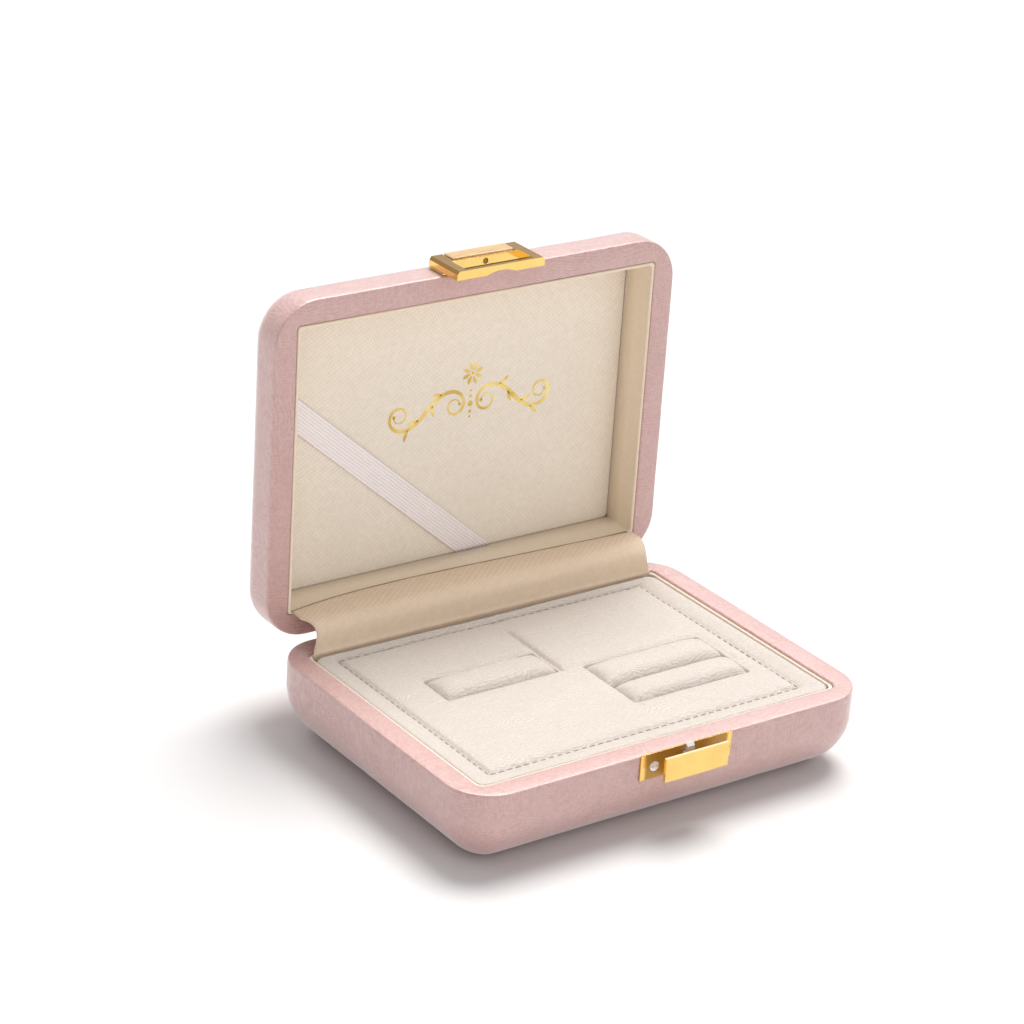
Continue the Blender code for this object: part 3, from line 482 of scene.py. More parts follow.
BRONZE = (0.28, 0.15, 0.05)
LOOKS = {
    "pink_leather": pink_leather(),
    "pad_leather": pad_leather(),
    "base_lining": woven("base_lining", (0.88, 0.79, 0.67), (0.96, 0.88, 0.77), 0.45 * MM,
                         0.00003, (0.3, 0.5, 0.2)),
    "cream_lining": woven("cream_lining", (0.86, 0.73, 0.57), (0.96, 0.85, 0.69), 0.33 * MM,
                          0.00003, (0.6, 0.7, 0.5)),
    "panel_cloth": woven("panel_cloth", (0.84, 0.745, 0.635), (1.0, 0.93, 0.82), 0.65 * MM,
                         0.00009, (0, math.radians(28), 0)),
    "gusset_cloth": woven("gusset_cloth", (0.76, 0.60, 0.44), (0.90, 0.74, 0.57), 0.4 * MM,
                          0.00004, (0.4, 0.3, 0.6)),
    "ribbon": ribbon_look(),
    # painted highlight: faces turned up painted paler gold
    "gold": gold("gold", edge=0.45),
    # painted shade: faces turned up painted darker gold
    "plate_gold": gold("plate_gold", shade=(0.80, 0.52, 0.16),
                       # painted shade: the forward face behind the button painted dark bronze
                       within=[corner.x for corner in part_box("push_button")]),
    # painted reflection: faces turned up painted dark bronze
    "hasp_gold": gold("hasp_gold", shade=(0.46, 0.27, 0.09)),
    "bronze": gold("bronze", tint=BRONZE, shade=BRONZE),
    "foil": foil_look(),
    "brushed": mottled("brushed_gold", 4000.0, ((0.66, 0.43, 0.21), (0.82, 0.575, 0.30)),
                       (0.26, 0.38), (0.00002, 0.35), edges=(0.3, 0.7), stretch=(0.06, 1, 1),
                       detail=4.0, Metallic=0.6),
    "steel": mottled("steel", 700.0, ((0.84, 0.84, 0.86), (0.97, 0.97, 0.98)), (0.15, 0.3),
                     (0.00001, 0.3), Metallic=0.35),
    "core_board": mottled("core_board", 900.0, ((0.30, 0.26, 0.22), (0.48, 0.42, 0.36)), 0.85,
                          (0.0001, 0.4), stretch=(1, 4, 1), detail=5.0),
    "thread": thread("thread", (0.47, 0.40, 0.34)),
    # painted shade: the dark cord along the gusset's edge
    "seam": thread("seam", (0.44, 0.29, 0.16)),
}


# ---- mesh helpers
def add_object(name, points, faces, look, shaded=True):
    mesh = bpy.data.meshes.new(name)
    mesh.from_pydata([tuple(p) for p in points], [], faces)
    mesh.validate()
    bm = bmesh.new()
    bm.from_mesh(mesh)
    bmesh.ops.recalc_face_normals(bm, faces=bm.faces)
    bm.to_mesh(mesh)
    bm.free()
    mesh.polygons.foreach_set("use_smooth", [shaded] * len(mesh.polygons))
    mesh.materials.append(LOOKS[look])
    return link(bpy.data.objects.new(name, mesh))


def link(obj):
    bpy.context.scene.collection.objects.link(obj)
    return obj


def sheet_faces(rows, columns, wrap=False, start=0):
    """Quads of a grid of rows x columns points. With wrap each row closes on itself."""
    faces = []
    for r in range(rows - 1):
        low, high = start + r * columns, start + (r + 1) * columns
        for c in range(columns if wrap else columns - 1):
            d = (c + 1) % columns
            faces.append((low + c, low + d, high + d, high + c))
    return faces


def tube_faces(rows, columns, start=0):
    """Faces of a tube of rows rings with both ends closed."""
    last = start + (rows - 1) * columns
    ends = [tuple(range(first, first + columns)) for first in (start, last)]
    return sheet_faces(rows, columns, wrap=True, start=start) + ends


def band_faces(first, second):
    """Quads between two closed loops of as many points."""
    pairs = list(zip(first, second))
    return [(a, c, d, b) for (a, b), (c, d) in zip(pairs, pairs[1:] + pairs[:1])]


def outline(rows, columns):
    """The points round a grid, up its first column to begin with."""
    up = [r * columns for r in range(rows)]
    along = list(range((rows - 1) * columns + 1, rows * columns - 1))
    down = [r * columns + columns - 1 for r in range(rows - 1, -1, -1)]
    return up + along + down + list(range(columns - 2, 0, -1))


def two_sided(front, back, rows, columns):
    """Points and faces of a sheet with thickness: its two sides and the strip round its edge."""
    count = len(front)
    faces = sheet_faces(rows, columns)
    faces += [face[::-1] for face in sheet_faces(rows, columns, start=count)]
    rim = outline(rows, columns)
    return front + back, faces + band_faces(rim, [i + count for i in rim])


def circle(count):
    """(sine, cosine) at even angles all the way round."""
    return [(math.sin(TAU * i / count), math.cos(TAU * i / count)) for i in range(count)]


def arc(steps):
    """(sine, cosine) at even angles from nought to a right angle."""
    return circle(4 * steps)[:steps + 1]


def smooth(t):
    t = min(max(t, 0.0), 1.0)
    return t * t * (3 - 2 * t)


def ripple(height, *place):
    """Smooth noise of the given height."""
    return height * noise.noise(Vector(place))


def ring(half_x, half_y, radius):
    """Plan points of a rounded rectangle, counter-clockwise, with points along the sides."""
    corner_steps, side_steps = 12, 16
    signs = ((1, 1), (-1, 1), (-1, -1), (1, -1))
    centers = [np.array((sx * (half_x - radius), sy * (half_y - radius))) for sx, sy in signs]
    points = []
    for number, center in enumerate(centers):
        for step in range(corner_steps + 1):
            angle = (number + step / corner_steps) * math.pi / 2
            start = center + radius * np.array((math.cos(angle), math.sin(angle)))
            points.append(start)
        side = centers[(number + 1) % 4] - center
        points += [start + side * step / side_steps for step in range(1, side_steps)]
    return points


def corner_radius(offset):
    return max(RIM_CORNER + offset - (WALL - BULGE), LEAST_CORNER)


def loft(name, profile, place, look, closed=False):
    """A surface through rounded rectangles: profile rows are (offset, depth, corner radius)."""
    rings = [[place(x, y, depth) for x, y in ring(HALF_X + offset, HALF_Y + offset, radius)]
             for offset, depth, radius in profile]
    rows, count = len(rings), len(rings[0])
    if closed:
        last = (rows - 1) * count
        faces = sheet_faces(rows, count, wrap=True)
        faces += band_faces(range(last, last + count), range(count))
    else:
        faces = tube_faces(rows, count)
    return add_object(name, [p for row in rings for p in row], faces, look)


def undulate(obj, amount, scale):
    """Slight unevenness along the normals, as in leather glued over a board."""
    moves = [(v, v.normal * ripple(amount, *(v.co * scale))) for v in obj.data.vertices]
    for vertex, move in moves:
        vertex.co += move


def modify(obj, kind, **settings):
    modifier = obj.modifiers.new(kind.lower(), kind)
    for key, value in settings.items():
        setattr(modifier, key, value)
    return modifier


def evaluated(obj):
    return obj.evaluated_get(bpy.context.evaluated_depsgraph_get())


def carve(obj, cutters):
    """Cut solids out of a mesh and keep the result as its mesh."""
    for cutter in cutters:
        modify(obj, "BOOLEAN", operation="DIFFERENCE", object=cutter, solver="EXACT")
    bpy.context.view_layer.update()
    mesh = bpy.data.meshes.new_from_object(evaluated(obj))
    obj.modifiers.clear()
    obj.data = mesh
    for cutter in cutters:
        bpy.data.objects.remove(cutter, do_unlink=True)


def box_cutter(low, high):
    bm = bmesh.new()
    bmesh.ops.create_cube(bm, size=1.0)
    size = Vector(high) - Vector(low)
    middle = (Vector(high) + Vector(low)) / 2
    return cutter_object(bm, Matrix.Translation(middle) @ Matrix.Diagonal((*size, 1)))


def bar_cutter(center, radius, length):
    """A round bar along X."""
    bm = bmesh.new()
    bmesh.ops.create_cone(bm, cap_ends=True, segments=32, radius1=radius, radius2=radius,
                          depth=length)
    return cutter_object(bm, Matrix.Translation(center) @ Matrix.Rotation(math.pi / 2, 4, "Y"))


def cutter_object(bm, matrix):
    bmesh.ops.transform(bm, matrix=matrix, verts=bm.verts)
    return link(bpy.data.objects.new("cutter", finished_mesh("cutter", bm)))


def finished_mesh(name, bm):
    mesh = bpy.data.meshes.new(name)
    bm.to_mesh(mesh)
    bm.free()
    return mesh


def relax(obj, held, pressure, growth, cap):
    """Let a piece swell as cloth between its held points, then keep the result as its mesh."""
    mesh = obj.data
    start = np.array([v.co for v in mesh.vertices])
    mesh.vertices.foreach_set("co", (start * CLOTH_SCALE).ravel())
    mesh.update()
    group = obj.vertex_groups.new(name="held")
    group.add(held, 1.0, "REPLACE")
    cloth = modify(obj, "CLOTH")
    cloth.collision_settings.use_collision = False
    cloth.point_cache.frame_end = CLOTH_FRAMES
    cloth.settings.vertex_group_mass = group.name
    cloth.settings.use_pressure = True
    cloth.settings.uniform_pressure_force = pressure
    cloth.settings.shrink_min = -growth
    cloth.settings.bending_stiffness = 0.2
    cloth.settings.effector_weights.gravity = 0
    scene = bpy.context.scene
    for number in range(1, CLOTH_FRAMES + 1):
        scene.frame_set(number)
    end = np.empty(start.size)
    evaluated(obj).data.vertices.foreach_get("co", end)
    obj.modifiers.clear()
    obj.vertex_groups.clear()
    scene.frame_set(1)
    move = end.reshape(-1, 3) / CLOTH_SCALE - start
    share = np.minimum(1, cap / np.maximum(np.linalg.norm(move, axis=1), 1e-9))
    mesh.vertices.foreach_set("co", (start + move * share[:, None]).ravel())
    mesh.update()


def settle(obj, body, slot, *replaced):
    """Give a finished piece its body and hide the nodes it stands for. The slot is not used."""
    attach(obj, body)
    if replaced:
        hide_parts(*replaced)


# ---- leather shells
def wall_rows(height, curve, inset, steps):
    """Profile of a half's outside: from its flat face round to the wall, moved in by inset."""
    rows = []
    for sine, cosine in arc(steps):
        offset = WALL - curve[0] + (curve[0] - inset) * sine
        depth = height - curve[1] + (curve[1] - inset) * cosine
        rows.append((offset, depth, corner_radius(offset)))
    return rows


def shell_profile(height, curve, opening):
    """Outer face and wall, over the crowned rim, down inside, and back along the inner face."""
    # the flat outer face, in rings that grow from a small one in its middle
    rows = [(offset, height, min(4 * MM, 0.8 * (HALF_Y + offset)))
            for offset in np.linspace(0.5 * MM - HALF_Y, WALL - curve[0] - 1.5 * MM, 12)]
    rows += wall_rows(height, curve, 0, 18)
    wall_low, wall_high = height - curve[1], RIM_GAP + EDGE_DROP
    for share in (0.35, 0.7):
        rows.append((WALL, wall_low + (wall_high - wall_low) * share, corner_radius(WALL)))
    for sine, cosine in arc(6):
        offset = WALL - BULGE * (1 - cosine)
        rows.append((offset, RIM_GAP + EDGE_DROP * (1 - sine), corner_radius(offset)))
    for share in (0.2, 0.5, 0.8):
        offset = (WALL - BULGE) * (1 - share) + 0.5 * MM * share
        corner = RIM_CORNER * (1 - share) + opening * share
        rows.append((offset, RIM_GAP - RIM_CROWN * math.sin(math.pi * share), corner))
    for sine, cosine in arc(4):
        rows.append((RIM_ROLL * (1 - sine), RIM_GAP + RIM_ROLL * (1 - cosine), opening))
    under_rim = RIM_GAP + 2 * SKIN
    rows += [(0, TURN_DOWN, opening), (SKIN, TURN_DOWN, opening + SKIN),
             (SKIN, under_rim, opening + SKIN),
             (WALL - SKIN, under_rim, corner_radius(WALL - SKIN))]
    return rows + wall_rows(height, curve, SKIN, 8)[::-1]


def add_shells():
    """Leather over both halves, cut away round the hinge pins and the travel of the catch."""
    base = loft("case_base_leather", shell_profile(RIM_Z, BASE_CURVE, BASE_OPENING_CORNER),
                on_base, "pink_leather")
    lid = loft("case_lid_leather", shell_profile(LID_HEIGHT, LID_CURVE, LID_OPENING_CORNER),
               on_lid, "pink_leather")
    low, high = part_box("lock_catch")
    catch_low = (low.x - CATCH_ROOM, low.y, low.z - CATCH_DROP)
    catch_high = (high.x + CATCH_ROOM, high.y + BUTTON_TRAVEL + CATCH_ROOM, RIM_Z - 1.05 * MM)
    for body, obj in (("base", base), ("lid", lid)):
        undulate(obj, UNEVEN, 90.0)
        cutters = []
        for pin in ("hinge_pin_left", "hinge_pin_right"):
            low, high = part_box(pin)
            cutters.append(bar_cutter((low + high) / 2, PIN_ROOM[0], high.x - low.x + PIN_ROOM[1]))
        if body == "base":
            cutters.append(box_cutter(catch_low, catch_high))
        carve(obj, cutters)
        settle(obj, body, "pink_leather", body + "_leather")


def add_linings():
    """Thin bands inside both openings, each with a rolled lip along the rim."""
    outer = -FIT * 0.5
    base = ("base", on_base, BASE_BAND_BOTTOM, BASE_OPENING_CORNER, BASE_LIP, "base_lining")
    lid = ("lid", on_lid, LID_BAND_BOTTOM, LID_OPENING_CORNER, LID_LIP, "cream_lining")
    for body, place, bottom, corner, (lip, lip_depth), look in (base, lid):
        profile = [(outer, bottom, corner), (outer, lip_depth + 0.5 * MM, corner)]
        for angle in np.linspace(-0.1, 1.1, 13) * math.pi:
            profile.append((outer - lip + lip * math.cos(angle),
                            lip_depth - lip * math.sin(angle), corner))
        profile += [(LINED, depth, corner + LINED)
                    for depth in (lip_depth + 0.7 * MM, bottom * 0.5, bottom)]
        band = loft(body + "_lining_band", profile, place, look, closed=True)
        settle(band, body, "cream_lining", body + "_lining")


# ---- lid: panel, ribbon, ornament
def add_panel():
    """Card covered with twill, its edges rolled over and pressed against the lining."""
    back = PANEL_DEPTH + PANEL_THICKNESS
    profile = [(LINED - 5 * MM, back, PANEL_CORNER), (LINED, back, PANEL_CORNER)]
    for sine, cosine in arc(5):
        profile.append((LINED - PANEL_EDGE * (1 - cosine), PANEL_DEPTH + PANEL_EDGE * (1 - sine),
                        PANEL_CORNER))
    profile.append((LINED - 3 * MM, PANEL_DEPTH - PANEL_RISE, 1.0 * MM))
    profile.append((LINED - 12 * MM, PANEL_DEPTH - 2 * PANEL_RISE, 3.0 * MM))
    settle(loft("twill_panel", profile, on_lid, "panel_cloth"), "lid", "panel_cloth", "lid_panel")


def add_ribbon():
    """Ribbed elastic across the corner, its ends cut along the lining walls they tuck into."""
    start_x, end_y = RIBBON_START[0], RIBBON_END[1]
    rows, columns = 60, RIBBON_RIBS * 8 + 1
    front, back = [], []
    for r in range(rows):
        t = r / (rows - 1)
        sunk = PANEL_DEPTH - RIBBON_LIFT + RIBBON_SINK * abs(2 * t - 1) ** 12
        for c in range(columns):
            s = c / (columns - 1)
            across = (s - 0.5) * RIBBON_WIDTH
            start_y = RIBBON_START[1] + across / RIBBON_WAY[0]
            end_x = RIBBON_END[0] - across / RIBBON_WAY[1]
            x = start_x + (end_x - start_x) * t
            y = start_y + (end_y - start_y) * t
            rib = RIB_HEIGHT * abs(math.sin(math.pi * RIBBON_RIBS * s)) ** 0.7
            front.append(on_lid(x, y, sunk - rib))
            back.append(on_lid(x, y, sunk + RIBBON_THICKNESS))
    ribbon = add_object("elastic_ribbon", *two_sided(front, back, rows, columns), "ribbon")
    settle(ribbon, "lid", "ribbon", "ribbon_strap")


class Foil:
    """Flat shapes on the panel, gathered into one thin mesh."""

    def __init__(self):
        self.points = []
        self.faces = []

    def strip(self, path, widths):
        """A stroke along a path of (x, z), with a width at each point."""
        path = np.array(path)
        along = np.gradient(path, axis=0)
        along /= np.linalg.norm(along, axis=1)[:, None]
        side = np.c_[-along[:, 1], along[:, 0]] * (np.array(widths) / 2)[:, None]
        shape = np.r_[path + side, (path - side)[::-1]]
        start, total = len(self.points), len(shape)
        for depth in FOIL_FACES:
            self.points += [(x, LID_RIM_Y + depth, z) for x, z in shape]
        for first in (start, start + total):
            self.faces += [(first + i, first + i + 1, first + total - 2 - i, first + total - 1 - i)
                           for i in range(len(path) - 1)]
        self.faces += band_faces(range(start, start + total),
                                 range(start + total, start + 2 * total))

    def leaf(self, root, angle, length, width):
        """A pointed leaf growing from its root, slightly curved."""
        steps = np.linspace(0, 1, 15)
        bend = angle + 0.5 * steps
        way = np.c_[np.cumsum(np.cos(bend)), np.cumsum(np.sin(bend))]
        path = np.array(root) + way * length / (len(steps) - 1)
        self.strip(path, width * np.sin(np.pi * steps * 0.96 + 0.06) ** 0.9 + 0.03 * MM)

    def dot(self, center, radius):
        heights = np.linspace(-0.999, 0.999, 11)
        path = [(center[0] + radius * h, center[1]) for h in heights]
        self.strip(path, 2 * radius * np.sqrt(1 - heights ** 2))

    def add(self, name):
        obj = add_object(name, self.points, self.faces, "foil", shaded=False)
        settle(obj, "lid", "gold")


def scroll_path():
    """A double spiral whose curvature grows evenly from its middle to its ends, lying level."""
    t = np.linspace(-2.35, 2.35, 150)
    step = t[1] - t[0]
    x = np.cumsum(np.cos(np.pi * t * t / 2)) * step
    z = np.cumsum(np.sin(np.pi * t * t / 2)) * step
    x -= np.interp(0, t, x)
    z -= np.interp(0, t, z)
    return np.c_[x + z, z - x] * math.sqrt(0.5) * SCROLL_SCALE


def add_ornament():
    """Gold foil on the panel: a small rosette over a pair of scrolls with leaves."""
    foil = Foil()
    for number in range(ROSETTE_LEAVES):
        angle = TAU * (number + 0.5) / ROSETTE_LEAVES
        root = (ROSETTE_X + ROSETTE_HUB * math.cos(angle),
                ROSETTE_Z + ROSETTE_HUB * math.sin(angle))
        foil.leaf(root, angle - 0.25, *ROSETTE_LEAF)
    foil.dot((ROSETTE_X, ROSETTE_Z), 0.4 * MM)
    foil.add("foil_rosette")

    foil = Foil()
    path = scroll_path()
    share = np.abs(np.linspace(-1, 1, len(path)))
    widths = MM * (0.24 + 0.85 * (1 - share) ** 0.8)
    for side in (-1, 1):
        placed = [(FOIL_X + side * (x + SCROLL_SIDE), FOIL_Z + z) for x, z in path]
        foil.strip(placed, widths)
        for end in (placed[0], placed[-1]):
            foil.dot(end, SCROLL_END)
        for index, turn in ((58, 0.75), (68, -0.75), (82, 0.75), (92, -0.75)):
            dx, dz = path[index + 1] - path[index]
            angle = math.atan2(dz, dx) + turn
            foil.leaf(placed[index], angle if side > 0 else math.pi - angle, *SCROLL_LEAF)
    # a column of dots between the scrolls
    for lift, radius in ((0.0, 0.7), (1.9, 0.45), (-1.9, 0.45), (3.2, 0.3), (-3.2, 0.3)):
        foil.dot((FOIL_X, FOIL_Z + lift * MM), radius * MM)
    foil.add("foil_scrolls")


# ---- pad
def box_distance(x, y, box):
    """Signed distance from a rounded plan box, negative inside."""
    dx = abs(x - (box[0] + box[2]) / 2) - ((box[2] - box[0]) / 2 - SLIT_CORNER)
    dy = abs(y - (box[1] + box[3]) / 2) - ((box[3] - box[1]) / 2 - SLIT_CORNER)
    return math.hypot(max(dx, 0), max(dy, 0)) + min(max(dx, dy), 0) - SLIT_CORNER


def stitch_distance(x, y):
    return min(STITCH_X - abs(x), STITCH_BACK - y, y - STITCH_FRONT)


def pad_height(x, y):
    """Top of the pad inside the stitching."""
    inside = stitch_distance(x, y)
    height = PAD_TOP + PAD_SWELL[0] * smooth(inside / PAD_SWELL[1])
    height -= GROOVE[0] * (1 - smooth(inside / GROOVE[1]))
    for box in POCKETS:
        away = box_distance(x, y, box)
        height -= SLIT_SAG[0] * math.exp(-max(away, 0) / SLIT_SAG[1])
        height -= SLIT_DROP[0] * smooth(-away / SLIT_DROP[1])
    # the stitched fold, with short puckers on its right
    right = x - FOLD_X
    fold = smooth((y - FOLD_FRONT) / FOLD_FADE) * smooth((FOLD_BACK - y) / FOLD_FADE)
    height -= FOLD_SIZE[0] * fold * math.exp(-(right / FOLD_SIZE[1]) ** 2)
    pucker = math.exp(-((right - 2.2 * MM) / (2.0 * MM)) ** 2) * fold
    height += 0.1 * MM * pucker * math.sin((y - 0.5 * right) * TAU / PUCKER_PITCH)
    height += ripple(0.09 * MM, x * 130, y * 130, 3.0)
    return height + ripple(0.045 * MM, x * 420, y * 420, 7.0)


def graded(low, high, marks):
    """Grid lines from low to high, closer together near the marks."""
    values = [low]
    while values[-1] < high - 1e-9:
        close = min(abs(values[-1] - mark) for mark in marks)
        far = smooth((close - GRID_NEAR) / (2.5 * GRID_NEAR))
        values.append(min(values[-1] + GRID_FINE + (GRID_STEP - GRID_FINE) * far, high))
    if values[-1] - values[-2] < GRID_FINE * 0.3:
        values.pop(-2)
    return values


def field_lift():
    """Where the leather swells and puckers between stitches and slits: x and y lines, and lifts."""
    xs = np.linspace(-STITCH_X, STITCH_X, round(2 * STITCH_X / GRID_STEP) + 1)
    ys = np.linspace(STITCH_FRONT, STITCH_BACK, round((STITCH_BACK - STITCH_FRONT) / GRID_STEP) + 1)
    start = [(x, y, pad_height(x, y)) for y in ys for x in xs]
    sheet = add_object("lift", start, sheet_faces(len(ys), len(xs)), "pad_leather")
    if sheet.data.polygons[0].normal.z < 0:
        sheet.data.flip_normals()
    held = []
    for i, (x, y, _) in enumerate(start):
        to_slit = min(box_distance(x, y, box) for box in POCKETS)
        on_fold = abs(x - FOLD_X) < 0.6 * MM and FOLD_FRONT < y < FOLD_BACK - 0.5 * MM
        if stitch_distance(x, y) < 0.5 * MM or to_slit < 0.3 * MM or on_fold:
            held.append(i)
    relax(sheet, held, *FIELD_CLOTH)
    lift = np.array([v.co.z for v in sheet.data.vertices]) - np.array(start)[:, 2]
    bpy.data.objects.remove(sheet, do_unlink=True)
    return xs, ys, lift.reshape(len(ys), len(xs))


def regrid(grid, xs, ys):
    """Bilinear values of a (x lines, y lines, values) grid at other lines."""
    old_xs, old_ys, values = grid
    wide = np.array([np.interp(xs, old_xs, row) for row in values])
    return np.array([np.interp(ys, old_ys, column) for column in wide.T]).T


def pad_edge(x, y):
    """The place on the pad's rounded edge in plan that answers to a place on the stitching."""
    half_y = (PAD_BACK - PAD_FRONT) / 2
    core_x, core_y = PAD_EDGE_X - PAD_CORNER, half_y - PAD_CORNER
    out_x = x / STITCH_X * PAD_EDGE_X
    out_y = ((y - STITCH_FRONT) / (STITCH_BACK - STITCH_FRONT) * 2 - 1) * half_y
    dx, dy = abs(out_x) - core_x, abs(out_y) - core_y
    if dx > 0 and dy > 0:
        shrink = PAD_CORNER / math.hypot(dx, dy)
        out_x = math.copysign(core_x + dx * shrink, out_x)
        out_y = math.copysign(core_y + dy * shrink, out_y)
    return out_x, out_y + (PAD_FRONT + PAD_BACK) / 2


def border_rings():
    """Share of the way from stitching to edge, inset from the edge, and height."""
    rings = []
    for t in (0.04, 0.09, 0.16, 0.26, 0.4, 0.55, 0.7):
        rise = PAD_BORDER * smooth(t / 0.85) - BORDER_GROOVE * (1 - smooth(t / 0.22))
        rings.append((t, 0.0, PAD_TOP + rise))
    for sine, cosine in arc(6):
        rings.append((1.0, PAD_ROUND * (1 - sine), PAD_Z + PAD_BORDER - PAD_ROUND * (1 - cosine)))
    return rings + [(1.0, 0.0, pad_low.z + 1.0 * MM), (1.0, 0.6 * MM, pad_low.z)]


def add_pad():
    """One leather cover: the field inside the stitching, the border, and its turned-down edge."""
    marks_x = [box[i] for box in POCKETS for i in (0, 2)] + [-STITCH_X, STITCH_X, -0.6 * MM]
    marks_y = [box[i] for box in POCKETS for i in (1, 3)] + [STITCH_FRONT, STITCH_BACK]
    xs = graded(-STITCH_X, STITCH_X, marks_x)
    ys = graded(STITCH_FRONT, STITCH_BACK, marks_y)
    lift = regrid(field_lift(), xs, ys)
    points = [(x, y, pad_height(x, y) + lift[j, i]) for j, y in enumerate(ys)
              for i, x in enumerate(xs)]
    faces = sheet_faces(len(ys), len(xs))
    loop = [0] + outline(len(ys), len(xs))[:0:-1]
    edge = [pad_edge(*points[index][:2]) for index in loop]
    previous = loop
    for t, inset, z in border_rings():
        current = list(range(len(points), len(points) + len(loop)))
        for index, (edge_x, edge_y) in zip(loop, edge):
            x, y = points[index][:2]
            share = t * (1 - inset / math.hypot(edge_x - x, edge_y - y))
            flat = t == 1 and inset == 0
            wobble = 0 if flat else ripple(0.04 * MM, edge_x * 200, edge_y * 200, t * 3)
            points.append((x + (edge_x - x) * share, y + (edge_y - y) * share, z + wobble))
        faces += band_faces(previous, current)
        previous = current
    faces.append(tuple(previous))
    pad = add_object("ring_pad_leather", points, faces, "pad_leather")
    settle(pad, "base", "pad_leather", "ring_pad")
    add_stitches()
    for name, (low, high) in ROLLS.items():
        add_roll(name, low, high)


def add_stitches():
    """Short stitches lying in the groove round the pad, all in one mesh."""
    left, right, front, back = -STITCH_X, STITCH_X, STITCH_FRONT, STITCH_BACK
    corners = list(np.array(((left, front), (right, front), (right, back), (left, back))))
    half_length, half_width = STITCH_SIZE
    rows, columns = 7, 6
    points, faces = [], []
    for first, second in zip(corners, corners[1:] + corners[:1]):
        length = np.linalg.norm(second - first)
        along = (second - first) / length
        side = np.array((-along[1], along[0]))
        count = int(length / STITCH_PITCH)
        for number in range(count):
            center = first + along * (length * (number + 0.5) / count)
            faces += tube_faces(rows, columns, start=len(points))
            for k in range(rows):
                u = -1 + k / 3
                swell = math.sqrt(max(1 - u * u, 0.02))
                for sine, cosine in circle(columns):
                    p = center + along * half_length * u + side * half_width * swell * cosine
                    z = STITCH_Z + STITCH_ARCH * swell + half_width * 0.8 * swell * sine
                    points.append((p[0], p[1], z))
    settle(add_object("pad_stitches", points, faces, "thread"), "base", "pad_leather")


def add_roll(name, low, high):
    """A ring roll: a long cushion whose ends sink into the slit."""
    rows, columns = 56, 40
    middle_y, half_y = (low.y + high.y) / 2, (high.y - low.y) / 2
    bottom = low.z + 0.3 * MM
    points = []
    for r in range(rows):
        t = -1 + 2 * r / (rows - 1)
        x = (low.x + high.x) / 2 + (high.x - low.x) / 2 * t
        reach = math.sqrt(max(1 - abs(t) ** 9, 0))
        crown = PAD_Z + ROLL_RISE - ROLL_DROOP * (1 - reach) ** 0.8
        wide = half_y * (0.9 + 0.1 * reach)
        for sine, cosine in circle(columns):
            y = middle_y + wide * math.copysign(abs(cosine) ** 0.75, cosine)
            if sine > 0:
                z = ROLL_WAIST + (crown - ROLL_WAIST) * sine ** 0.8
            else:
                z = ROLL_WAIST - (ROLL_WAIST - bottom) * abs(sine) ** 0.6
            wrinkle = ripple(0.04 * MM, x * 350, y * 900, 1.0) * max(sine, 0)
            points.append((x, y, z + wrinkle * (1.2 - reach * 0.6)))
    roll = add_object(name.replace("ring_roll", "roll_cover"), points, tube_faces(rows, columns),
                      "pad_leather")
    relax(roll, [i for i, p in enumerate(points) if p[2] < ROLL_HELD], *ROLL_CLOTH)
    settle(roll, "base", "pad_leather", name)


# ---- gusset
def gusset_path():
    """(y, z) from behind the pad, up, and back over the lid's lower lining."""
    wall_y = GUSSET_Y + GUSSET_LEAN
    path = [(GUSSET_Y, GUSSET_BOTTOM), (GUSSET_Y, RIM_Z)]
    path += [(wall_y + GUSSET_CORNER * (1 - cosine), GUSSET_Z - GUSSET_CORNER * (1 - sine))
             for sine, cosine in arc(8)]
    return path + [(GUSSET_END_Y, GUSSET_Z)]


def resample(path, count):
    """Points evenly spaced along a path, and its length."""
    path = np.array(path)
    lengths = np.r_[0, np.cumsum(np.linalg.norm(np.diff(path, axis=0), axis=1))]
    even = np.linspace(0, lengths[-1], count)
    return np.c_[[np.interp(even, lengths, axis) for axis in path.T]].T, lengths[-1]


def seam_y(x):
    return float(np.polyval(GUSSET_SEAM, x / MM)) * MM


def add_gusset():
    """Cloth joining the halves, a cord under its lower edge and its upper edge cut to the seam."""
    rows, columns = 44, 120
    path, length = resample(gusset_path(), rows)
    along = np.gradient(path, axis=0)
    along /= np.linalg.norm(along, axis=1)[:, None]
    front, back = [], []
    for r, (y, z) in enumerate(path):
        share = r / (rows - 1)
        scoop = GUSSET_SCOOP * math.sin(math.pi * min(max((share - 0.12) / 0.6, 0), 1)) ** 1.2
        out_y, out_z = -along[r][1], along[r][0]
        cord = 0.0
        if share < 0.5:
            cord = PIPING[0] * math.exp(-((z - PIPING_Z) / PIPING[1]) ** 4)
        for c in range(columns):
            x = (-1 + 2 * c / (columns - 1)) * (GUSSET_HALF - scoop)
            slack = ripple(0.3 * MM, x * 45, share * 2.2, 0.5) * math.sin(math.pi * share) ** 2
            slack += ripple(0.06 * MM, x * 300, share * 9, 2.5) + cord
            slack += 0.1 * MM * smooth((share - 0.95) / 0.03)
            pull = (seam_y(x) - GUSSET_END_Y) * smooth((share - 0.6) / 0.4)
            for side, out in ((front, slack), (back, slack - GUSSET_THICKNESS)):
                side.append((x, y + pull + out_y * out, z + out_z * out))
    gusset = add_object("gusset_sheet", *two_sided(front, back, rows, columns), "gusset_cloth")
    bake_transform(gusset)
    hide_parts("hinge_gusset")


def add_cord(name, path, radius, sides, look):
    """A round cord with closed ends. Path rows are a centre and two directions across it."""
    points = [center + (out * cosine + up * sine) * radius
              for center, out, up in path for sine, cosine in circle(sides)]
    return add_object(name, points, tube_faces(len(path), sides), look)


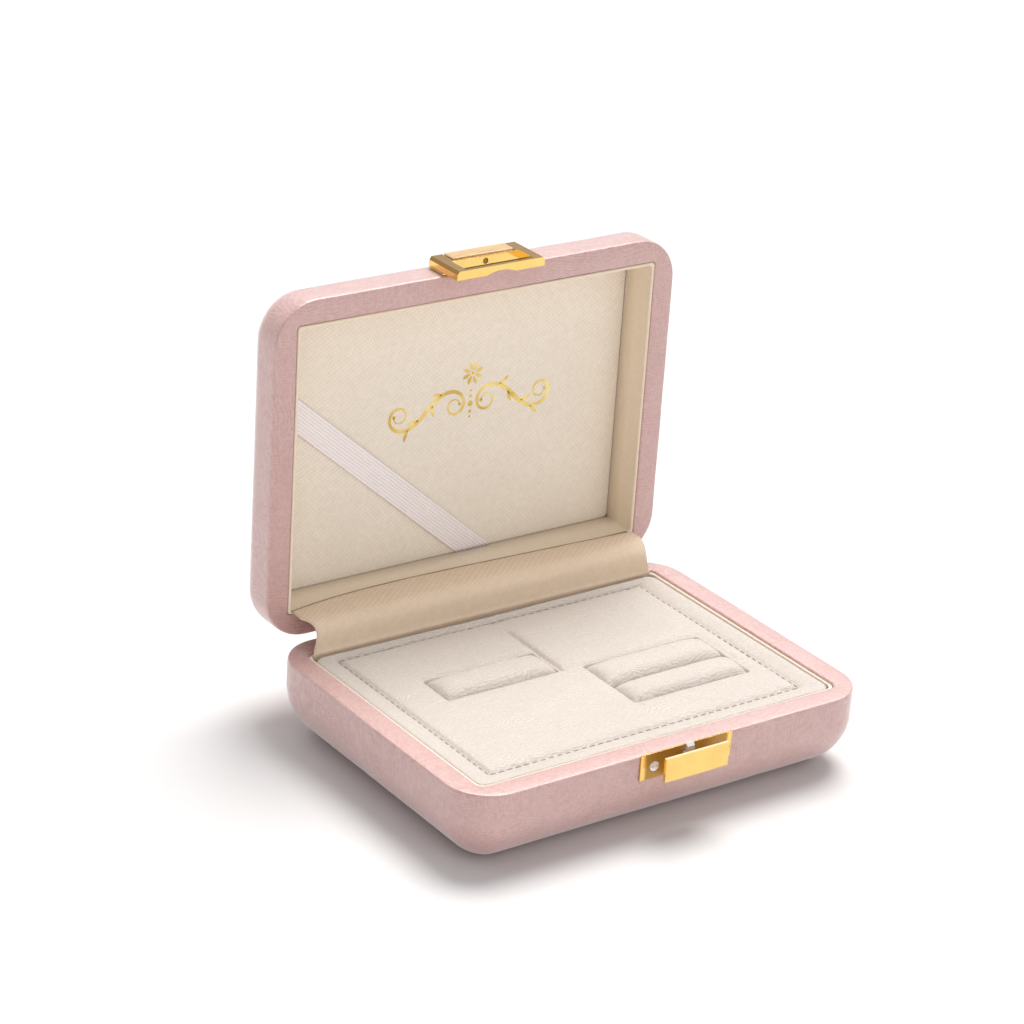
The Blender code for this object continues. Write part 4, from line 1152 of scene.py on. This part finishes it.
def add_gusset_shade_cord():
    """A dark cord along the gusset's edge on the lid's lining: painted shade, standing in for the
    shadow line where the gusset meets the lining.
    """
    path = []
    for x in np.linspace(*SHADE_CORD_ENDS, 90):
        center = np.array((x, max(seam_y(x) + 0.1 * MM, LID_RIM_Y), GUSSET_Z))
        path.append((center, np.array((0, 1, 0)), np.array((0, 0, 1))))
    seam = add_cord("gusset_seam", path, SHADE_CORD_RADIUS, 6, "seam")
    settle(seam, "lid", "gusset_cloth")


# ---- metal
def add_spring():
    """The coil behind the button."""
    low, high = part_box("button_spring")
    center, length = (low + high) / 2, high.y - low.y
    radius = (high.x - low.x) / 2 - WIRE
    turn_steps = 24
    steps = COIL_TURNS * turn_steps
    path = []
    for i in range(steps + 1):
        angle = TAU * i / turn_steps
        out = np.array((math.cos(angle), 0, math.sin(angle)))
        middle = np.array((center.x, low.y + WIRE + (length - 2 * WIRE) * i / steps, center.z))
        path.append((middle + out * radius, out, np.array((0, 1, 0))))
    spring = add_cord("button_coil", path, WIRE, 8, "steel")
    settle(spring, "base", "steel", "button_spring")
    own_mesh(spring)


def dress_metal():
    """The CAD metal keeps its shape, with softened edges. The boards stay plain."""
    looks = {"hasp_bar": "brushed", "hasp_screw": "bronze", "hasp_frame": "hasp_gold",
             "lock_plate": "plate_gold"}
    looks.update(dict.fromkeys(("base_shell", "lid_shell", "pad_board"), "core_board"))
    looks.update(dict.fromkeys(("lock_catch", "lock_screw_left", "hinge_pin_left",
                                "hinge_pin_right"), "steel"))
    for name, obj in frame["nodes"].items():
        if obj.hide_render:
            continue
        look = looks.get(name, "gold")
        obj.data.materials.clear()
        obj.data.materials.append(LOOKS[look])
        if look == "core_board":
            continue
        modify(obj, "WELD", merge_threshold=WELD)
        modify(obj, "BEVEL", width=BEVEL, segments=2, limit_method="ANGLE", angle_limit=BEVEL_ANGLE)


# ---- stage
def add_stage():
    bm = bmesh.new()
    bmesh.ops.create_grid(bm, x_segments=1, y_segments=1, size=FLOOR_SIZE)
    floor = link(bpy.data.objects.new("floor", finished_mesh("floor", bm)))
    floor.location = (0, 0, -FLOOR_DROP)
    floor.data.materials.append(mottled("floor", 3.0, ((0.74,) * 3, (0.75,) * 3), 0.9, None,
                                        detail=2.0, Specular_IOR_Level=0.0))

    # a plain sky whose strength changes with height, from left to right and from front to back
    n = Nodes(bpy.data.worlds.new("studio"))
    split = n.add("SeparateXYZ", Vector=n.add("TexCoord").outputs["Generated"])
    height = n.ramp(split.outputs["Z"], 0.0, 0.9, SKY_LOW, SKY_HIGH)
    side = n.ramp(split.outputs["X"], -0.9, 0.4, SKY_LEFT, 1.0)
    depth = n.ramp(split.outputs["Y"], -0.4, 0.9, SKY_FRONT, SKY_BACK)
    background = n.tree.nodes["Background"]
    n.put(background.inputs["Color"], SKY_COLOR)
    n.put(background.inputs["Strength"],
          n.math("MULTIPLY", n.math("MULTIPLY", height, side), depth))
    bpy.context.scene.world = n.owner

    add_sun("key", KEY_POWER, KEY_SOFTNESS, KEY_FROM)
    add_sun("fill", FILL_POWER, FILL_SOFTNESS, FILL_FROM)


def add_sun(name, power, softness, toward):
    sun = bpy.data.lights.new(name, "SUN")
    sun.energy = power
    sun.angle = math.radians(softness)
    sun.color = SUN_COLOR
    lamp = link(bpy.data.objects.new(name, sun))
    lamp.rotation_euler = Vector(toward).to_track_quat("Z", "Y").to_euler()


def add_camera():
    data = bpy.data.cameras.new("camera")
    data.lens = CAMERA_LENS
    data.sensor_width = CAMERA_SENSOR
    data.clip_start = 0.01
    camera = link(bpy.data.objects.new("camera", data))
    level = math.cos(CAMERA_ELEVATION)
    back = Vector((math.sin(CAMERA_AZIMUTH) * level, -math.cos(CAMERA_AZIMUTH) * level,
                   math.sin(CAMERA_ELEVATION)))
    turn = back.to_track_quat("Z", "Y").to_matrix().to_4x4()
    turn @= Matrix.Rotation(CAMERA_ROLL, 4, "Z")
    camera.matrix_world = Matrix.Translation(CAMERA_PLACE) @ turn
    bpy.context.scene.camera = camera
    bpy.context.scene.view_settings.view_transform = "Standard"


add_camera()
add_stage()
add_shells()
add_linings()
add_panel()
add_ribbon()
add_ornament()
add_pad()
add_gusset()
add_gusset_shade_cord()
add_spring()
dress_metal()
